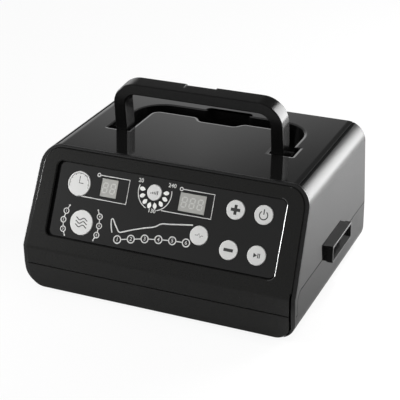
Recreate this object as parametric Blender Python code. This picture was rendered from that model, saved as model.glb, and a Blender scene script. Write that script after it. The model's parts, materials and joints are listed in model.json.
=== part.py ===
# Compression therapy pump, in metres, +Z up.
# Every piece is built in the body's own frame: x = 0 at the middle of the width, y = 0 at the
# crease of the front, running back, and z = 0 at the bottom edge of the shells.

import math

import bmesh
import bpy
from mathutils import Matrix, Vector

for item in list(bpy.data.objects):
    bpy.data.objects.remove(item, do_unlink=True)

# Fits that every piece shares
GAP = 0.0003
OVERRUN = 0.002
WALL = 0.0022

# Body
BODY_WIDTH = 0.250
BODY_DEPTH = 0.1894
BODY_HEIGHT = 0.1197
TOP_DRAFT = 0.0029
TOP_RADIUS = 0.0173
BOTTOM_RADIUS = 0.020
REAR_EDGE = 0.0025
SIDE_SPLIT = 0.0432
EAR_WIDTH = 0.0030
EAR_RADIUS = 0.0080
GROOVE_DEPTH = 0.0009
GROOVE_HALF_WIDTH = 0.0008
GROOVE_OFFSET = 0.0051

# Front profile
CREASE_HEIGHT = 0.0395
SLOPE_SETBACK = 0.0432
FRONT_SPLIT = 0.0235
SKIRT_SETBACK = 0.0028

# Front plates and the trim frame round them
FRAME_BORDER = 0.0035
FRAME_FRONT = 0.0009
FRAME_REAR = 0.0032
FRAME_EDGE = 0.0008
FRAME_END_HEIGHT = 0.0045
PLATE_SIDE_INSET = 0.0038
PLATE_TOP_INSET = 0.0020
PLATE_RADIUS = 0.0150
PLATE_THICKNESS = 0.0028
PLATE_EDGE = 0.0006
STRIP_GROOVE = 0.0012
STRIP_GROOVE_TOP = 0.0435
SKIRT_THICKNESS = 0.0026
SKIRT_RADIUS = 0.0170

# Control panel, measured up the slope from the crease and out from the fascia
PANEL_FROM_SIDE = 0.0210
PANEL_LOW = 0.0130
PANEL_FROM_TOP = 0.0131
PANEL_RADIUS = 0.0050
RECESS_DEPTH = 0.0019
OVERLAY_THICKNESS = 0.0007
CAP_PROUD = 0.0005
CAP_EDGE = 0.0004
CAP_CLEARANCE = 0.0004
CAP_FLANGE = 0.0010
CAP_FLANGE_THICKNESS = 0.0008
CAP_STEM_RADIUS = 0.0020
CAP_STEM_LENGTH = 0.0024
CAP_TRAVEL = 0.0006
STEM_CLEARANCE = 0.0001
LARGE_CAP_RADIUS = 0.0107
GAUGE_CAP_RADIUS = 0.0067
SMALL_CAP_RADIUS = 0.0080
GAUGE_LAMP_RADIUS = 0.0112
MODE_LAMP_RADIUS = 0.0177
WINDOW_HEIGHT = 0.0153
DIGIT_PITCH = 0.0083
WINDOW_TRIM = 0.0015
LAMP_RADIUS = 0.0015
LAMP_CLEARANCE = 0.0003
GUIDE_HALF_WIDTH = 0.0012
GUIDE_THICKNESS = 0.0015

# Control board behind the fascia
BOARD_THICKNESS = 0.0016
BOARD_BESIDE_POST = 0.0020
BOARD_BELOW_PANEL = 0.0050
BOARD_ABOVE_PANEL = 0.0060
BOARD_MARGIN = 0.0035
BOARD_STANDOFF = 0.0075
BOSS_RADIUS = 0.0030
SMALL_SCREW_RADIUS = 0.0011
SMALL_HEAD_RADIUS = 0.0024
SMALL_HEAD_HEIGHT = 0.0016
SMALL_SCREW_REACH = 0.0040
SWITCH_SIZE = 0.0060

# Handle and the well that it folds into
PIVOT_FROM_REAR = 0.0859
PIVOT_BELOW_TOP = 0.0100
HANDLE_HALF_WIDTH = 0.0784
HANDLE_REACH = 0.0565
HANDLE_DEPTH = 0.0165
LEG_THICKNESS = 0.0100
BAR_THICKNESS = 0.0090
HANDLE_RADIUS = 0.0230
HANDLE_EDGE = 0.0022
HANDLE_LEAN_DEGREES = 5.0
HUB_RADIUS = 0.0092
HUB_BOSS = 0.0062
NOTCH_HALF_WIDTH = 0.0140
NOTCH_DEPTH = 0.0009
PIN_RADIUS = 0.0025
PIN_HEAD_RADIUS = 0.0042
PIN_HEAD_HEIGHT = 0.0015
PIN_END = 0.0020
PIN_CLEARANCE = 0.00008
WELL_BELOW_HUB = 0.0018
WELL_BESIDE_LEG = 0.0033
WELL_BEHIND_BAR = 0.0040
WELL_RADIUS = 0.0280
ISLAND_BESIDE_LEG = 0.0027
ISLAND_BEFORE_BAR = 0.0053
ISLAND_RADIUS = 0.0080
POCKET_HALF_WIDTH = 0.0205
POCKET_DEPTH = 0.0048
POCKET_RADIUS = 0.0030
ISLAND_NOTCH_HALF_WIDTH = 0.0170
ISLAND_NOTCH_DEPTH = 0.0080
ISLAND_NOTCH_SLANT = 0.0060
HINGE_BESIDE_HUB = 0.0028
HINGE_BEHIND_HUB = 0.0017

# Hose port on the right side
PORT_FRONT = 0.0662
PORT_REAR = 0.1176
PORT_LOW = 0.0420
PORT_HIGH = 0.0572
PORT_REACH = 0.0094
PORT_RIM = 0.0054
PORT_STEP = 0.0006
PORT_WALL = 0.0018
PORT_EDGE = 0.0006
PORT_FLANGE = 0.0028
PORT_FLANGE_THICKNESS = 0.0020
PORT_TAIL = 0.0012
NOZZLE_PITCH = 0.0076
NOZZLE_RADIUS = 0.0024
NOZZLE_REACH = 0.0080
NOZZLE_BORE = 0.0012
BARB_RADIUS = 0.0019
BARB_REACH = 0.0060
PORT_BLOCK_THICKNESS = 0.0060

# Rear of the shells
INLET_FROM_SIDE = 0.0410
INLET_LOW = 0.0120
INLET_WIDTH = 0.0240
INLET_HEIGHT = 0.0150
INLET_DEPTH = 0.0180
INLET_RECESS = 0.0005
INLET_WALL = 0.0030
INLET_SOCKET_DEPTH = 0.0120
INLET_FLANGE = 0.0025
INLET_FLANGE_THICKNESS = 0.0020
INLET_PIN_RADIUS = 0.0012
INLET_PIN_SPACING = 0.0086
INLET_PIN_REACH = 0.0090
VENT_WIDTH = 0.0420
VENT_HEIGHT = 0.0025
VENT_PITCH = 0.0060
VENT_LOW = 0.0580
VENT_X = 0.0500

# Under the shells
FOOT_RADIUS = 0.0080
FOOT_PROUD = 0.0030
FOOT_RECESS = 0.0012
FOOT_FROM_SIDE = 0.0330
FOOT_FROM_FRONT = 0.0280
FOOT_FROM_REAR = 0.0394
POST_FROM_SIDE = 0.0220
POST_FROM_FRONT = 0.0580
POST_FROM_REAR = 0.0194
POST_RADIUS = 0.0050
POST_BORE = 0.0034
UPPER_POST_RADIUS = 0.0042
SCREW_RADIUS = 0.0014
SCREW_HEAD_RADIUS = 0.0029
SCREW_HEAD_HEIGHT = 0.0022
SCREW_HEAD_BELOW_SPLIT = 0.0080
SCREW_REACH = 0.0100

# Air pump
PUMP_BESIDE_MANIFOLD = 0.0227
PUMP_BEFORE_BOARD = 0.0030
PUMP_LENGTH = 0.0660
PUMP_WIDTH = 0.0580
PUMP_HEIGHT = 0.0440
PUMP_EDGE = 0.0050
MOUNT_RADIUS = 0.0055
MOUNT_HEIGHT = 0.0090
MOUNT_INSET = 0.0090
HEAD_RADIUS = 0.0200
HEAD_THICKNESS = 0.0140
HEAD_SPOUT_RADIUS = 0.0030
HEAD_SPOUT_REACH = 0.0050

# Power supply
POWER_BOARD_FROM_SIDE = 0.0300
POWER_BOARD_WIDTH = 0.0800
POWER_BOARD_DEPTH = 0.0320
POWER_BOARD_BEFORE_INLET = 0.0029
POWER_BOARD_HEIGHT = 0.0080
TRANSFORMER_LENGTH = 0.0360
TRANSFORMER_WIDTH = 0.0280
TRANSFORMER_HEIGHT = 0.0280
CORE_BAND = 0.0090
CORE_STEP = 0.0030
CAPACITOR_RADIUS = 0.0080
CAPACITOR_HEIGHT = 0.0280

# Valve manifold
MANIFOLD_FROM_SIDE = 0.0530
MANIFOLD_WIDTH = 0.0200
MANIFOLD_FRONT = 0.0620
MANIFOLD_HEIGHT = 0.0180
MANIFOLD_SEAT = 0.0040
VALVE_PITCH = 0.0120
VALVE_RADIUS = 0.0050
VALVE_HEIGHT = 0.0240
TUBE_RADIUS = 0.0022
TUBE_LEAD = 0.0080
COMB_THICKNESS = 0.0025
COMB_MARGIN = 0.0040

# Counts, angles and shares
SIDES = 24
FINE_SIDES = 24
SMALL_SIDES = 8
ARC_STEPS = 6
CHAMBERS = 6
VENTS = 4
PETALS = 8
CHAMFER_SHARE = 0.3
INLET_ROUND_SHARE = 0.45
UPPER_ROW_SHARE = 0.769
LOWER_ROW_SHARE = 0.258
WINDOW_LOW_SHARE = 0.631
LAST_CHAMBER_SHARES = (0.239, 0.245)
CHAMBER_PITCH_SHARE = 0.119
CHAMBER_RISE_SHARE = 0.128
LAMP_DOME_SHARE = 0.45
TUBE_TURN_SHARE = 0.55
DOUBLE_SHARE = 0.001
CREASE_CUTS = (CREASE_HEIGHT, FRONT_SPLIT)
QUARTER_DEGREES = 90.0
GAUGE_START_DEGREES = 187.0
GAUGE_SWEEP_DEGREES = 166.0
MODE_LAMP_DEGREES = 26.0
SHARP_DEGREES = 35.0
HANDLE_SHARP_DEGREES = 50.0
TUBE_STEPS = 3

HALF_WIDTH = BODY_WIDTH / 2
LEAN = math.atan2(TOP_DRAFT, BODY_HEIGHT - TOP_RADIUS - SIDE_SPLIT)
TOP_CENTRE_Z = BODY_HEIGHT - TOP_RADIUS
TOP_CENTRE_X = (HALF_WIDTH
                - (TOP_RADIUS - (SIDE_SPLIT - TOP_CENTRE_Z) * math.sin(LEAN)) / math.cos(LEAN))
SLOPE_RISE = BODY_HEIGHT - CREASE_HEIGHT
SLOPE_ANGLE = math.atan2(SLOPE_RISE, SLOPE_SETBACK)
PANEL_HALF_WIDTH = HALF_WIDTH - PANEL_FROM_SIDE
PANEL_HIGH = math.hypot(SLOPE_RISE, SLOPE_SETBACK) - PANEL_FROM_TOP
PANEL_HEIGHT = PANEL_HIGH - PANEL_LOW
WINDOW_LOW = PANEL_LOW + PANEL_HEIGHT * WINDOW_LOW_SHARE
SHELL_FRONT = FRAME_REAR + GAP
PIVOT_BACK = BODY_DEPTH - PIVOT_FROM_REAR
PIVOT_HEIGHT = BODY_HEIGHT - PIVOT_BELOW_TOP
WELL_FLOOR = PIVOT_HEIGHT - HUB_RADIUS - WELL_BELOW_HUB
WELL_HALF_WIDTH = HANDLE_HALF_WIDTH + WELL_BESIDE_LEG
WELL_REAR = PIVOT_BACK + HANDLE_REACH + WELL_BEHIND_BAR
POCKET_REAR = WELL_REAR + POCKET_DEPTH
ISLAND_HALF_WIDTH = HANDLE_HALF_WIDTH - LEG_THICKNESS - ISLAND_BESIDE_LEG
ISLAND_REAR = PIVOT_BACK + HANDLE_REACH - BAR_THICKNESS - ISLAND_BEFORE_BAR
HANDLE_LEAN = math.radians(HANDLE_LEAN_DEGREES)
HINGE_FRONT = (PIVOT_BACK - HANDLE_DEPTH / 2 / math.cos(HANDLE_LEAN)
               - PIVOT_BELOW_TOP * math.tan(HANDLE_LEAN) - GAP)
HINGE_REAR = PIVOT_BACK + HUB_RADIUS + HINGE_BEHIND_HUB
HINGE_HALF_WIDTH = HANDLE_HALF_WIDTH + HUB_BOSS + HINGE_BESIDE_HUB

INLET_X = INLET_FROM_SIDE - HALF_WIDTH
FOOT_X = HALF_WIDTH - FOOT_FROM_SIDE
FOOT_BACK = BODY_DEPTH - FOOT_FROM_REAR
POST_X = HALF_WIDTH - POST_FROM_SIDE
POST_BACK = BODY_DEPTH - POST_FROM_REAR
POWER_BOARD_LEFT = POWER_BOARD_FROM_SIDE - HALF_WIDTH
POWER_BOARD_RIGHT = POWER_BOARD_LEFT + POWER_BOARD_WIDTH
POWER_BOARD_BACK = BODY_DEPTH - INLET_RECESS - INLET_DEPTH - POWER_BOARD_BEFORE_INLET
POWER_BOARD_FRONT = POWER_BOARD_BACK - POWER_BOARD_DEPTH
MANIFOLD_X = HALF_WIDTH - MANIFOLD_FROM_SIDE
PUMP_X = (MANIFOLD_X - MANIFOLD_WIDTH / 2 - PUMP_BESIDE_MANIFOLD - HEAD_THICKNESS - GAP
          - PUMP_LENGTH / 2)
PUMP_Y = POWER_BOARD_FRONT - PUMP_BEFORE_BOARD - PUMP_WIDTH / 2
BOARD_HALF_WIDTH = POST_X - POST_RADIUS - BOARD_BESIDE_POST
BOARD_LOW = PANEL_LOW - BOARD_BELOW_PANEL
BOARD_HIGH = PANEL_HIGH + BOARD_ABOVE_PANEL

# Levels in the control panel's frame, out from the fascia
OVERLAY_LOW = GAP - RECESS_DEPTH
OVERLAY_TOP = OVERLAY_LOW + OVERLAY_THICKNESS
CAP_TOP = OVERLAY_TOP + CAP_PROUD
FLANGE_TOP = -PLATE_THICKNESS - GAP
STEM_END = FLANGE_TOP - CAP_STEM_LENGTH
BOARD_TOP = -PLATE_THICKNESS - BOARD_STANDOFF - GAP
BOARD_BACK = BOARD_TOP - BOARD_THICKNESS

# Button caps: name, place across the panel's half width and up its height, radius
CAP_SHARES = (
    ("time_button", -0.788, 0.743, LARGE_CAP_RADIUS),
    ("mode_button", -0.706, 0.245, LARGE_CAP_RADIUS),
    ("gauge_button", -0.111, 0.802, GAUGE_CAP_RADIUS),
    ("leg_button", 0.331, 0.368, SMALL_CAP_RADIUS),
    ("plus_button", 0.595, UPPER_ROW_SHARE, SMALL_CAP_RADIUS),
    ("minus_button", 0.595, LOWER_ROW_SHARE, SMALL_CAP_RADIUS),
    ("power_button", 0.830, UPPER_ROW_SHARE, SMALL_CAP_RADIUS),
    ("start_button", 0.830, LOWER_ROW_SHARE, SMALL_CAP_RADIUS),
)
# Windows: name, left edge across the panel's half width, digits
WINDOW_SHARES = (("time_display", -0.579, 2), ("pressure_display", 0.120, 3))


def on_panel(across_share, up_share):
    return (PANEL_HALF_WIDTH * across_share, PANEL_LOW + PANEL_HEIGHT * up_share)


CAPS = [(name, *on_panel(across, up), radius) for name, across, up, radius in CAP_SHARES]
CAP_PLACES = {name: (across, up) for name, across, up, radius in CAPS}
WINDOWS = [(name, PANEL_HALF_WIDTH * left, digits) for name, left, digits in WINDOW_SHARES]


# Placing flat outlines in space: the third number is the depth of the extrusion

def front_view(x, z, y):
    return (x, y, z)


def top_view(x, y, z):
    return (x, y, z)


def side_view(y, z, x):
    return (x, y, z)


def arc(centre_x, centre_y, radius, start, end, steps=ARC_STEPS):
    points = []
    for step in range(steps + 1):
        angle = math.radians(start + (end - start) * step / steps)
        points.append((centre_x + radius * math.cos(angle), centre_y + radius * math.sin(angle)))
    return points


def mirrored(half):
    return half + [(-x, y) for x, y in reversed(half)]


def rounded_rectangle(left, right, low, high, radius, steps=ARC_STEPS):
    return (arc(right - radius, low + radius, radius, -90, 0, steps)
            + arc(right - radius, high - radius, radius, 0, 90, steps)
            + arc(left + radius, high - radius, radius, 90, 180, steps)
            + arc(left + radius, low + radius, radius, 180, 270, steps))


# Solids, each added to an open bmesh

def loft(mesh, sections):
    rings = [[mesh.verts.new(point) for point in section] for section in sections]
    count = len(rings[0])
    for ring, following in zip(rings, rings[1:]):
        for index in range(count):
            beside = (index + 1) % count
            mesh.faces.new((ring[index], ring[beside], following[beside], following[index]))
    mesh.faces.new(list(reversed(rings[0])))
    mesh.faces.new(rings[-1])


def prism(mesh, outline, low, high, place=top_view):
    loft(mesh, [[place(a, b, depth) for a, b in outline] for depth in (low, high)])


def box(mesh, x_range, y_range, z_range):
    (left, right), (front, back) = x_range, y_range
    outline = [(left, front), (right, front), (right, back), (left, back)]
    prism(mesh, outline, *z_range)


def rod(mesh, start, end, radius, sides=SIDES, end_radius=None):
    start, end = Vector(start), Vector(end)
    along = end - start
    turn = along.to_track_quat("Z", "Y").to_matrix().to_4x4()
    place = Matrix.Translation((start + end) / 2) @ turn
    bmesh.ops.create_cone(mesh, cap_ends=True, segments=sides, radius1=radius,
                          radius2=radius if end_radius is None else end_radius,
                          depth=along.length, matrix=place)


def lathe(mesh, profile, sides, centre=(0.0, 0.0)):
    sections = []
    for radius, height in profile:
        sections.append([(centre[0] + radius * math.cos(math.tau * side / sides),
                          centre[1] + radius * math.sin(math.tau * side / sides), height)
                         for side in range(sides)])
    loft(mesh, sections)


def front_set(height):
    """How far the front surface lies behind the crease at a height."""
    if height < FRONT_SPLIT:
        return SKIRT_SETBACK * (FRONT_SPLIT - height) / FRONT_SPLIT
    if height < CREASE_HEIGHT:
        return 0.0
    return (height - CREASE_HEIGHT) * SLOPE_SETBACK / SLOPE_RISE


def follow_front(mesh, limit):
    """Lean everything in front of the limit back along the front profile."""
    for height in CREASE_CUTS:
        bmesh.ops.bisect_plane(mesh, geom=mesh.verts[:] + mesh.edges[:] + mesh.faces[:],
                               plane_co=(0, 0, height), plane_no=(0, 0, 1))
    for vert in mesh.verts:
        if vert.co.y < limit:
            vert.co.y += front_set(vert.co.z)


# Objects and materials

def plastic(name, colour, roughness, metallic=0.0):
    material = bpy.data.materials.new(name)
    material.use_nodes = True
    shader = material.node_tree.nodes["Principled BSDF"]
    shader.inputs["Base Color"].default_value = (*colour, 1.0)
    shader.inputs["Roughness"].default_value = roughness
    shader.inputs["Metallic"].default_value = metallic
    material.diffuse_color = (*colour, 1.0)
    return material


GLOSS_BLACK = plastic("gloss_black", (0.012, 0.012, 0.012), 0.12)
SATIN_BLACK = plastic("satin_black", (0.018, 0.018, 0.018), 0.38)
LABEL_FILM = plastic("label_film", (0.030, 0.030, 0.030), 0.35)
CAP_GREY = plastic("cap_grey", (0.66, 0.66, 0.66), 0.45)
DISPLAY_GREY = plastic("display_grey", (0.55, 0.55, 0.52), 0.30)
LAMP_WHITE = plastic("lamp_white", (0.80, 0.80, 0.78), 0.30)
BOARD_GREEN = plastic("board_green", (0.02, 0.12, 0.05), 0.45)
PART_BLACK = plastic("part_black", (0.02, 0.02, 0.02), 0.50)
RUBBER_BLACK = plastic("rubber_black", (0.015, 0.015, 0.015), 0.80)
STEEL = plastic("steel", (0.60, 0.60, 0.58), 0.30, 1.0)
CAST_METAL = plastic("cast_metal", (0.50, 0.50, 0.50), 0.45, 1.0)
TUBE_CLEAR = plastic("tube_clear", (0.70, 0.72, 0.72), 0.25)
WHITE_PLASTIC = plastic("white_plastic", (0.75, 0.75, 0.72), 0.45)

BODY_FRAME = bpy.data.objects.new("body_frame", None)
bpy.context.collection.objects.link(BODY_FRAME)
BODY_FRAME.location = (-PORT_REACH / 2, -BODY_DEPTH / 2, FOOT_PROUD)
PANEL_FRAME = bpy.data.objects.new("panel_frame", None)
bpy.context.collection.objects.link(PANEL_FRAME)
PANEL_FRAME.parent = BODY_FRAME
PANEL_FRAME.location = (0, 0, CREASE_HEIGHT)
PANEL_FRAME.rotation_euler = (SLOPE_ANGLE, 0, 0)


def add(name, mesh, material, parent=BODY_FRAME, location=(0, 0, 0), turn=(0, 0, 0),
        smooth_below=SHARP_DEGREES):
    bmesh.ops.recalc_face_normals(mesh, faces=mesh.faces)
    data = bpy.data.meshes.new(name)
    mesh.to_mesh(data)
    mesh.free()
    piece = bpy.data.objects.new(name, data)
    bpy.context.collection.objects.link(piece)
    piece.parent = parent
    piece.location = location
    piece.rotation_euler = turn
    if material is not None:
        data.materials.append(material)
        data.shade_smooth()
        data.set_sharp_from_angle(angle=math.radians(smooth_below))
    bpy.context.view_layer.update()
    return piece


def shape(piece, build, operation="DIFFERENCE", parent=BODY_FRAME):
    """Cut a piece with a second shape, or join the two, and keep the result."""
    mesh = bmesh.new()
    build(mesh)
    cutter = add(piece.name + "_cutter", mesh, None, parent)
    cutter.hide_render = True
    cutter.display_type = "WIRE"
    modifier = piece.modifiers.new("shape", "BOOLEAN")
    modifier.operation = operation
    modifier.solver = "EXACT"
    modifier.object = cutter
    bpy.context.view_layer.objects.active = piece
    bpy.ops.object.modifier_apply(modifier=modifier.name)
    bpy.data.objects.remove(cutter, do_unlink=True)
    piece.data.shade_smooth()
    piece.data.set_sharp_from_angle(angle=math.radians(SHARP_DEGREES))


# Outlines

def body_outline(inset, groove=False):
    """The cross-section of the shells, seen from the front, moved in by the inset."""
    half = arc(HALF_WIDTH - BOTTOM_RADIUS, BOTTOM_RADIUS, BOTTOM_RADIUS - inset, -90, 0)
    half.append((HALF_WIDTH - inset, SIDE_SPLIT))
    lean = math.degrees(LEAN)
    middle = math.degrees(math.acos(GROOVE_OFFSET / TOP_RADIUS))
    spread = math.degrees(GROOVE_HALF_WIDTH / TOP_RADIUS)
    radius = TOP_RADIUS - inset
    half += arc(TOP_CENTRE_X, TOP_CENTRE_Z, radius, lean, middle - spread, ARC_STEPS)
    half += arc(TOP_CENTRE_X, TOP_CENTRE_Z, radius - (GROOVE_DEPTH if groove else 0),
                middle, middle, 1)[:1]
    half += arc(TOP_CENTRE_X, TOP_CENTRE_Z, radius, middle + spread, 90, 2)
    return mirrored(half)


def plate_outline(inset, low):
    """The front plate: wide beside the fascia, narrower beside the lower strip."""
    side = HALF_WIDTH - PLATE_SIDE_INSET - inset
    top_side = side - TOP_DRAFT
    high = BODY_HEIGHT - PLATE_TOP_INSET
    half = [(side - STRIP_GROOVE, low + inset), (side - STRIP_GROOVE, STRIP_GROOVE_TOP),
            (side, STRIP_GROOVE_TOP)]
    half += arc(top_side - PLATE_RADIUS + inset, high - PLATE_RADIUS, PLATE_RADIUS - inset, 0, 90)
    return mirrored(half)


def skirt_outline(inset):
    side = HALF_WIDTH - PLATE_SIDE_INSET - STRIP_GROOVE - inset
    half = arc(side - SKIRT_RADIUS + inset, SKIRT_RADIUS, SKIRT_RADIUS - inset, -90, 0)
    half.append((side, FRONT_SPLIT - GAP - inset))
    return mirrored(half)


def frame_outer(inset):
    """The outer edge of the trim frame, open at the bottom, where the skirt takes over."""
    end_angle = -math.degrees(math.asin((BOTTOM_RADIUS - FRAME_END_HEIGHT) / BOTTOM_RADIUS))
    half = arc(HALF_WIDTH - BOTTOM_RADIUS, BOTTOM_RADIUS, BOTTOM_RADIUS - inset, end_angle, 0)
    half.append((HALF_WIDTH - inset, SIDE_SPLIT))
    half += arc(TOP_CENTRE_X, TOP_CENTRE_Z, TOP_RADIUS - inset, math.degrees(LEAN), 90,
                ARC_STEPS + 2)
    return mirrored(half)


def frame_inner():
    """The inner edge of the trim frame, with as many points as the outer one."""
    side = HALF_WIDTH - FRAME_BORDER
    high = BODY_HEIGHT - PLATE_TOP_INSET + GAP
    radius = PLATE_RADIUS + GAP
    end_angle = -math.degrees(math.asin((SKIRT_RADIUS - FRAME_END_HEIGHT) / SKIRT_RADIUS))
    half = arc(side - SKIRT_RADIUS, SKIRT_RADIUS, SKIRT_RADIUS, end_angle, 0)
    half.append((side, STRIP_GROOVE_TOP))
    half += arc(side - TOP_DRAFT - radius, high - radius, radius, 0, 90, ARC_STEPS + 2)
    return mirrored(half)


def well_outline(grow):
    """The U-shaped well round the island, seen from above."""
    side = WELL_HALF_WIDTH + grow
    half = arc(POCKET_HALF_WIDTH - POCKET_RADIUS, POCKET_REAR - POCKET_RADIUS,
               POCKET_RADIUS + grow, 90, 0, 2)
    half.append((POCKET_HALF_WIDTH + grow, WELL_REAR + grow))
    half += arc(WELL_HALF_WIDTH - WELL_RADIUS, WELL_REAR - WELL_RADIUS, WELL_RADIUS + grow, 90, 0)
    half.append((side, HINGE_REAR + grow))
    half.append((HINGE_HALF_WIDTH + grow, HINGE_REAR + grow))
    half.append((HINGE_HALF_WIDTH + grow, HINGE_FRONT - grow))
    half.append((ISLAND_HALF_WIDTH - grow, HINGE_FRONT - grow))
    half += arc(ISLAND_HALF_WIDTH - ISLAND_RADIUS, ISLAND_REAR - ISLAND_RADIUS,
                ISLAND_RADIUS - grow, 0, 90)
    half.append((ISLAND_NOTCH_HALF_WIDTH + ISLAND_NOTCH_SLANT + grow, ISLAND_REAR - grow))
    half.append((ISLAND_NOTCH_HALF_WIDTH + grow, ISLAND_REAR - ISLAND_NOTCH_DEPTH - grow))
    left = [(-x, y) for x, y in reversed(half)]
    return left + half


def handle_outline(inset):
    """The arch, seen from the front, with its pivot at zero height."""
    outer = arc(HANDLE_HALF_WIDTH - HANDLE_RADIUS, HANDLE_REACH - HANDLE_RADIUS,
                HANDLE_RADIUS - inset, 0, 90, ARC_STEPS + 2)
    inner_radius = HANDLE_RADIUS - LEG_THICKNESS
    inner = arc(HANDLE_HALF_WIDTH - HANDLE_RADIUS, HANDLE_REACH - BAR_THICKNESS - inner_radius,
                inner_radius + inset, 0, 90, ARC_STEPS)
    half = [(HANDLE_HALF_WIDTH - inset, 0.0)] + outer
    back = list(reversed(inner)) + [(HANDLE_HALF_WIDTH - LEG_THICKNESS + inset, 0.0)]
    return half + [(-x, z) for x, z in reversed(half)] + [(-x, z) for x, z in reversed(back)] + back


# The two shells

def whole_shell(mesh):
    rear = BODY_DEPTH
    soft = REAR_EDGE
    cut = soft * CHAMFER_SHARE
    outer = [(soft, rear), (cut, rear - cut), (0, rear - soft)]
    sections = []
    for inset, depth in outer:
        sections.append([front_view(x, z, depth) for x, z in body_outline(inset, True)])
    sections.append([front_view(x, z, SHELL_FRONT) for x, z in body_outline(0, True)])
    sections.append([front_view(x, z, SHELL_FRONT) for x, z in body_outline(WALL)])
    sections.append([front_view(x, z, rear - WALL) for x, z in body_outline(WALL)])
    loft(mesh, sections)
    follow_front(mesh, SHELL_FRONT + GAP)


def split_region(upper):
    """The side view of one shell's half of the body, with the ear beside the front frame."""
    shift = 0 if upper else GAP
    ear = SHELL_FRONT + EAR_WIDTH + shift
    curve = arc(ear + EAR_RADIUS, SIDE_SPLIT - shift - EAR_RADIUS, EAR_RADIUS, 90, 180, 4)
    line = [(BODY_DEPTH + OVERRUN, SIDE_SPLIT - shift)] + curve
    line += [(ear, FRONT_SPLIT - shift), (-OVERRUN, FRONT_SPLIT - shift)]
    edge = BODY_HEIGHT + OVERRUN if upper else -OVERRUN
    line += [(-OVERRUN, edge), (BODY_DEPTH + OVERRUN, edge)]
    return line


def shell(name, upper):
    mesh = bmesh.new()
    whole_shell(mesh)
    piece = add(name, mesh, GLOSS_BLACK)
    reach = HALF_WIDTH + OVERRUN
    shape(piece, lambda cut: prism(cut, split_region(upper), -reach, reach, side_view),
          "INTERSECT")
    return piece


def port_cut(mesh):
    box(mesh, (HALF_WIDTH - WALL * 3, HALF_WIDTH + OVERRUN),
        (PORT_FRONT + PORT_STEP - GAP, PORT_REAR - PORT_STEP + GAP),
        (PORT_LOW + PORT_STEP - GAP, PORT_HIGH - PORT_STEP + GAP))


def post_places():
    return [(side * POST_X, y) for side in (-1, 1) for y in (POST_FROM_FRONT, POST_BACK)]


def make_upper_housing():
    piece = shell("upper_housing", True)
    well_top = BODY_HEIGHT - WALL / 2

    def well_block(mesh):
        prism(mesh, well_outline(WALL), WELL_FLOOR - WALL, well_top)

    def posts(mesh):
        for x, y in post_places():
            rod(mesh, (x, y, SIDE_SPLIT + GAP), (x, y, well_top), UPPER_POST_RADIUS)

    def pilot_bores(mesh):
        for x, y in post_places():
            rod(mesh, (x, y, SIDE_SPLIT - OVERRUN), (x, y, SIDE_SPLIT + SCREW_REACH + OVERRUN),
                SCREW_RADIUS + GAP, SMALL_SIDES)

    def pin_bores(mesh):
        for side in (-1, 1):
            rod(mesh, (side * (ISLAND_HALF_WIDTH - WALL - OVERRUN), PIVOT_BACK, PIVOT_HEIGHT),
                (side * (HINGE_HALF_WIDTH + WALL + OVERRUN), PIVOT_BACK, PIVOT_HEIGHT),
                PIN_RADIUS + PIN_CLEARANCE, SIDES)

    def vents(mesh):
        for side in (-1, 1):
            for row in range(VENTS):
                low = VENT_LOW + row * VENT_PITCH
                box(mesh, (side * VENT_X - VENT_WIDTH / 2, side * VENT_X + VENT_WIDTH / 2),
                    (BODY_DEPTH - WALL - OVERRUN, BODY_DEPTH + OVERRUN), (low, low + VENT_HEIGHT))

    shape(piece, well_block, "UNION")
    shape(piece, posts, "UNION")
    shape(piece, lambda cut: prism(cut, well_outline(0), WELL_FLOOR, BODY_HEIGHT + OVERRUN))
    shape(piece, pilot_bores)
    shape(piece, pin_bores)
    shape(piece, vents)
    shape(piece, port_cut)


def foot_places():
    return [("left" if side < 0 else "right", end, side * FOOT_X, y)
            for side in (-1, 1) for end, y in (("front", FOOT_FROM_FRONT), ("rear", FOOT_BACK))]


def pump_mount_places():
    half_x = PUMP_LENGTH / 2 - MOUNT_INSET
    half_y = PUMP_WIDTH / 2 - MOUNT_INSET
    return [(PUMP_X + a * half_x, PUMP_Y + b * half_y) for a in (-1, 1) for b in (-1, 1)]


def power_post_places():
    return [(x, y) for x in (POWER_BOARD_LEFT + BOARD_MARGIN, POWER_BOARD_RIGHT - BOARD_MARGIN)
            for y in (POWER_BOARD_FRONT + BOARD_MARGIN, POWER_BOARD_BACK - BOARD_MARGIN)]


def inlet_outline(grow):
    return rounded_rectangle(INLET_X - INLET_WIDTH / 2 - grow, INLET_X + INLET_WIDTH / 2 + grow,
                             INLET_LOW - grow, INLET_LOW + INLET_HEIGHT + grow,
                             INLET_HEIGHT * INLET_ROUND_SHARE + grow, 4)


MANIFOLD_LENGTH = CHAMBERS * VALVE_PITCH
MANIFOLD_SEAT_TOP = WALL + MANIFOLD_SEAT
HEAD_SEAT = SIDE_SPLIT - SCREW_HEAD_BELOW_SPLIT


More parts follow.
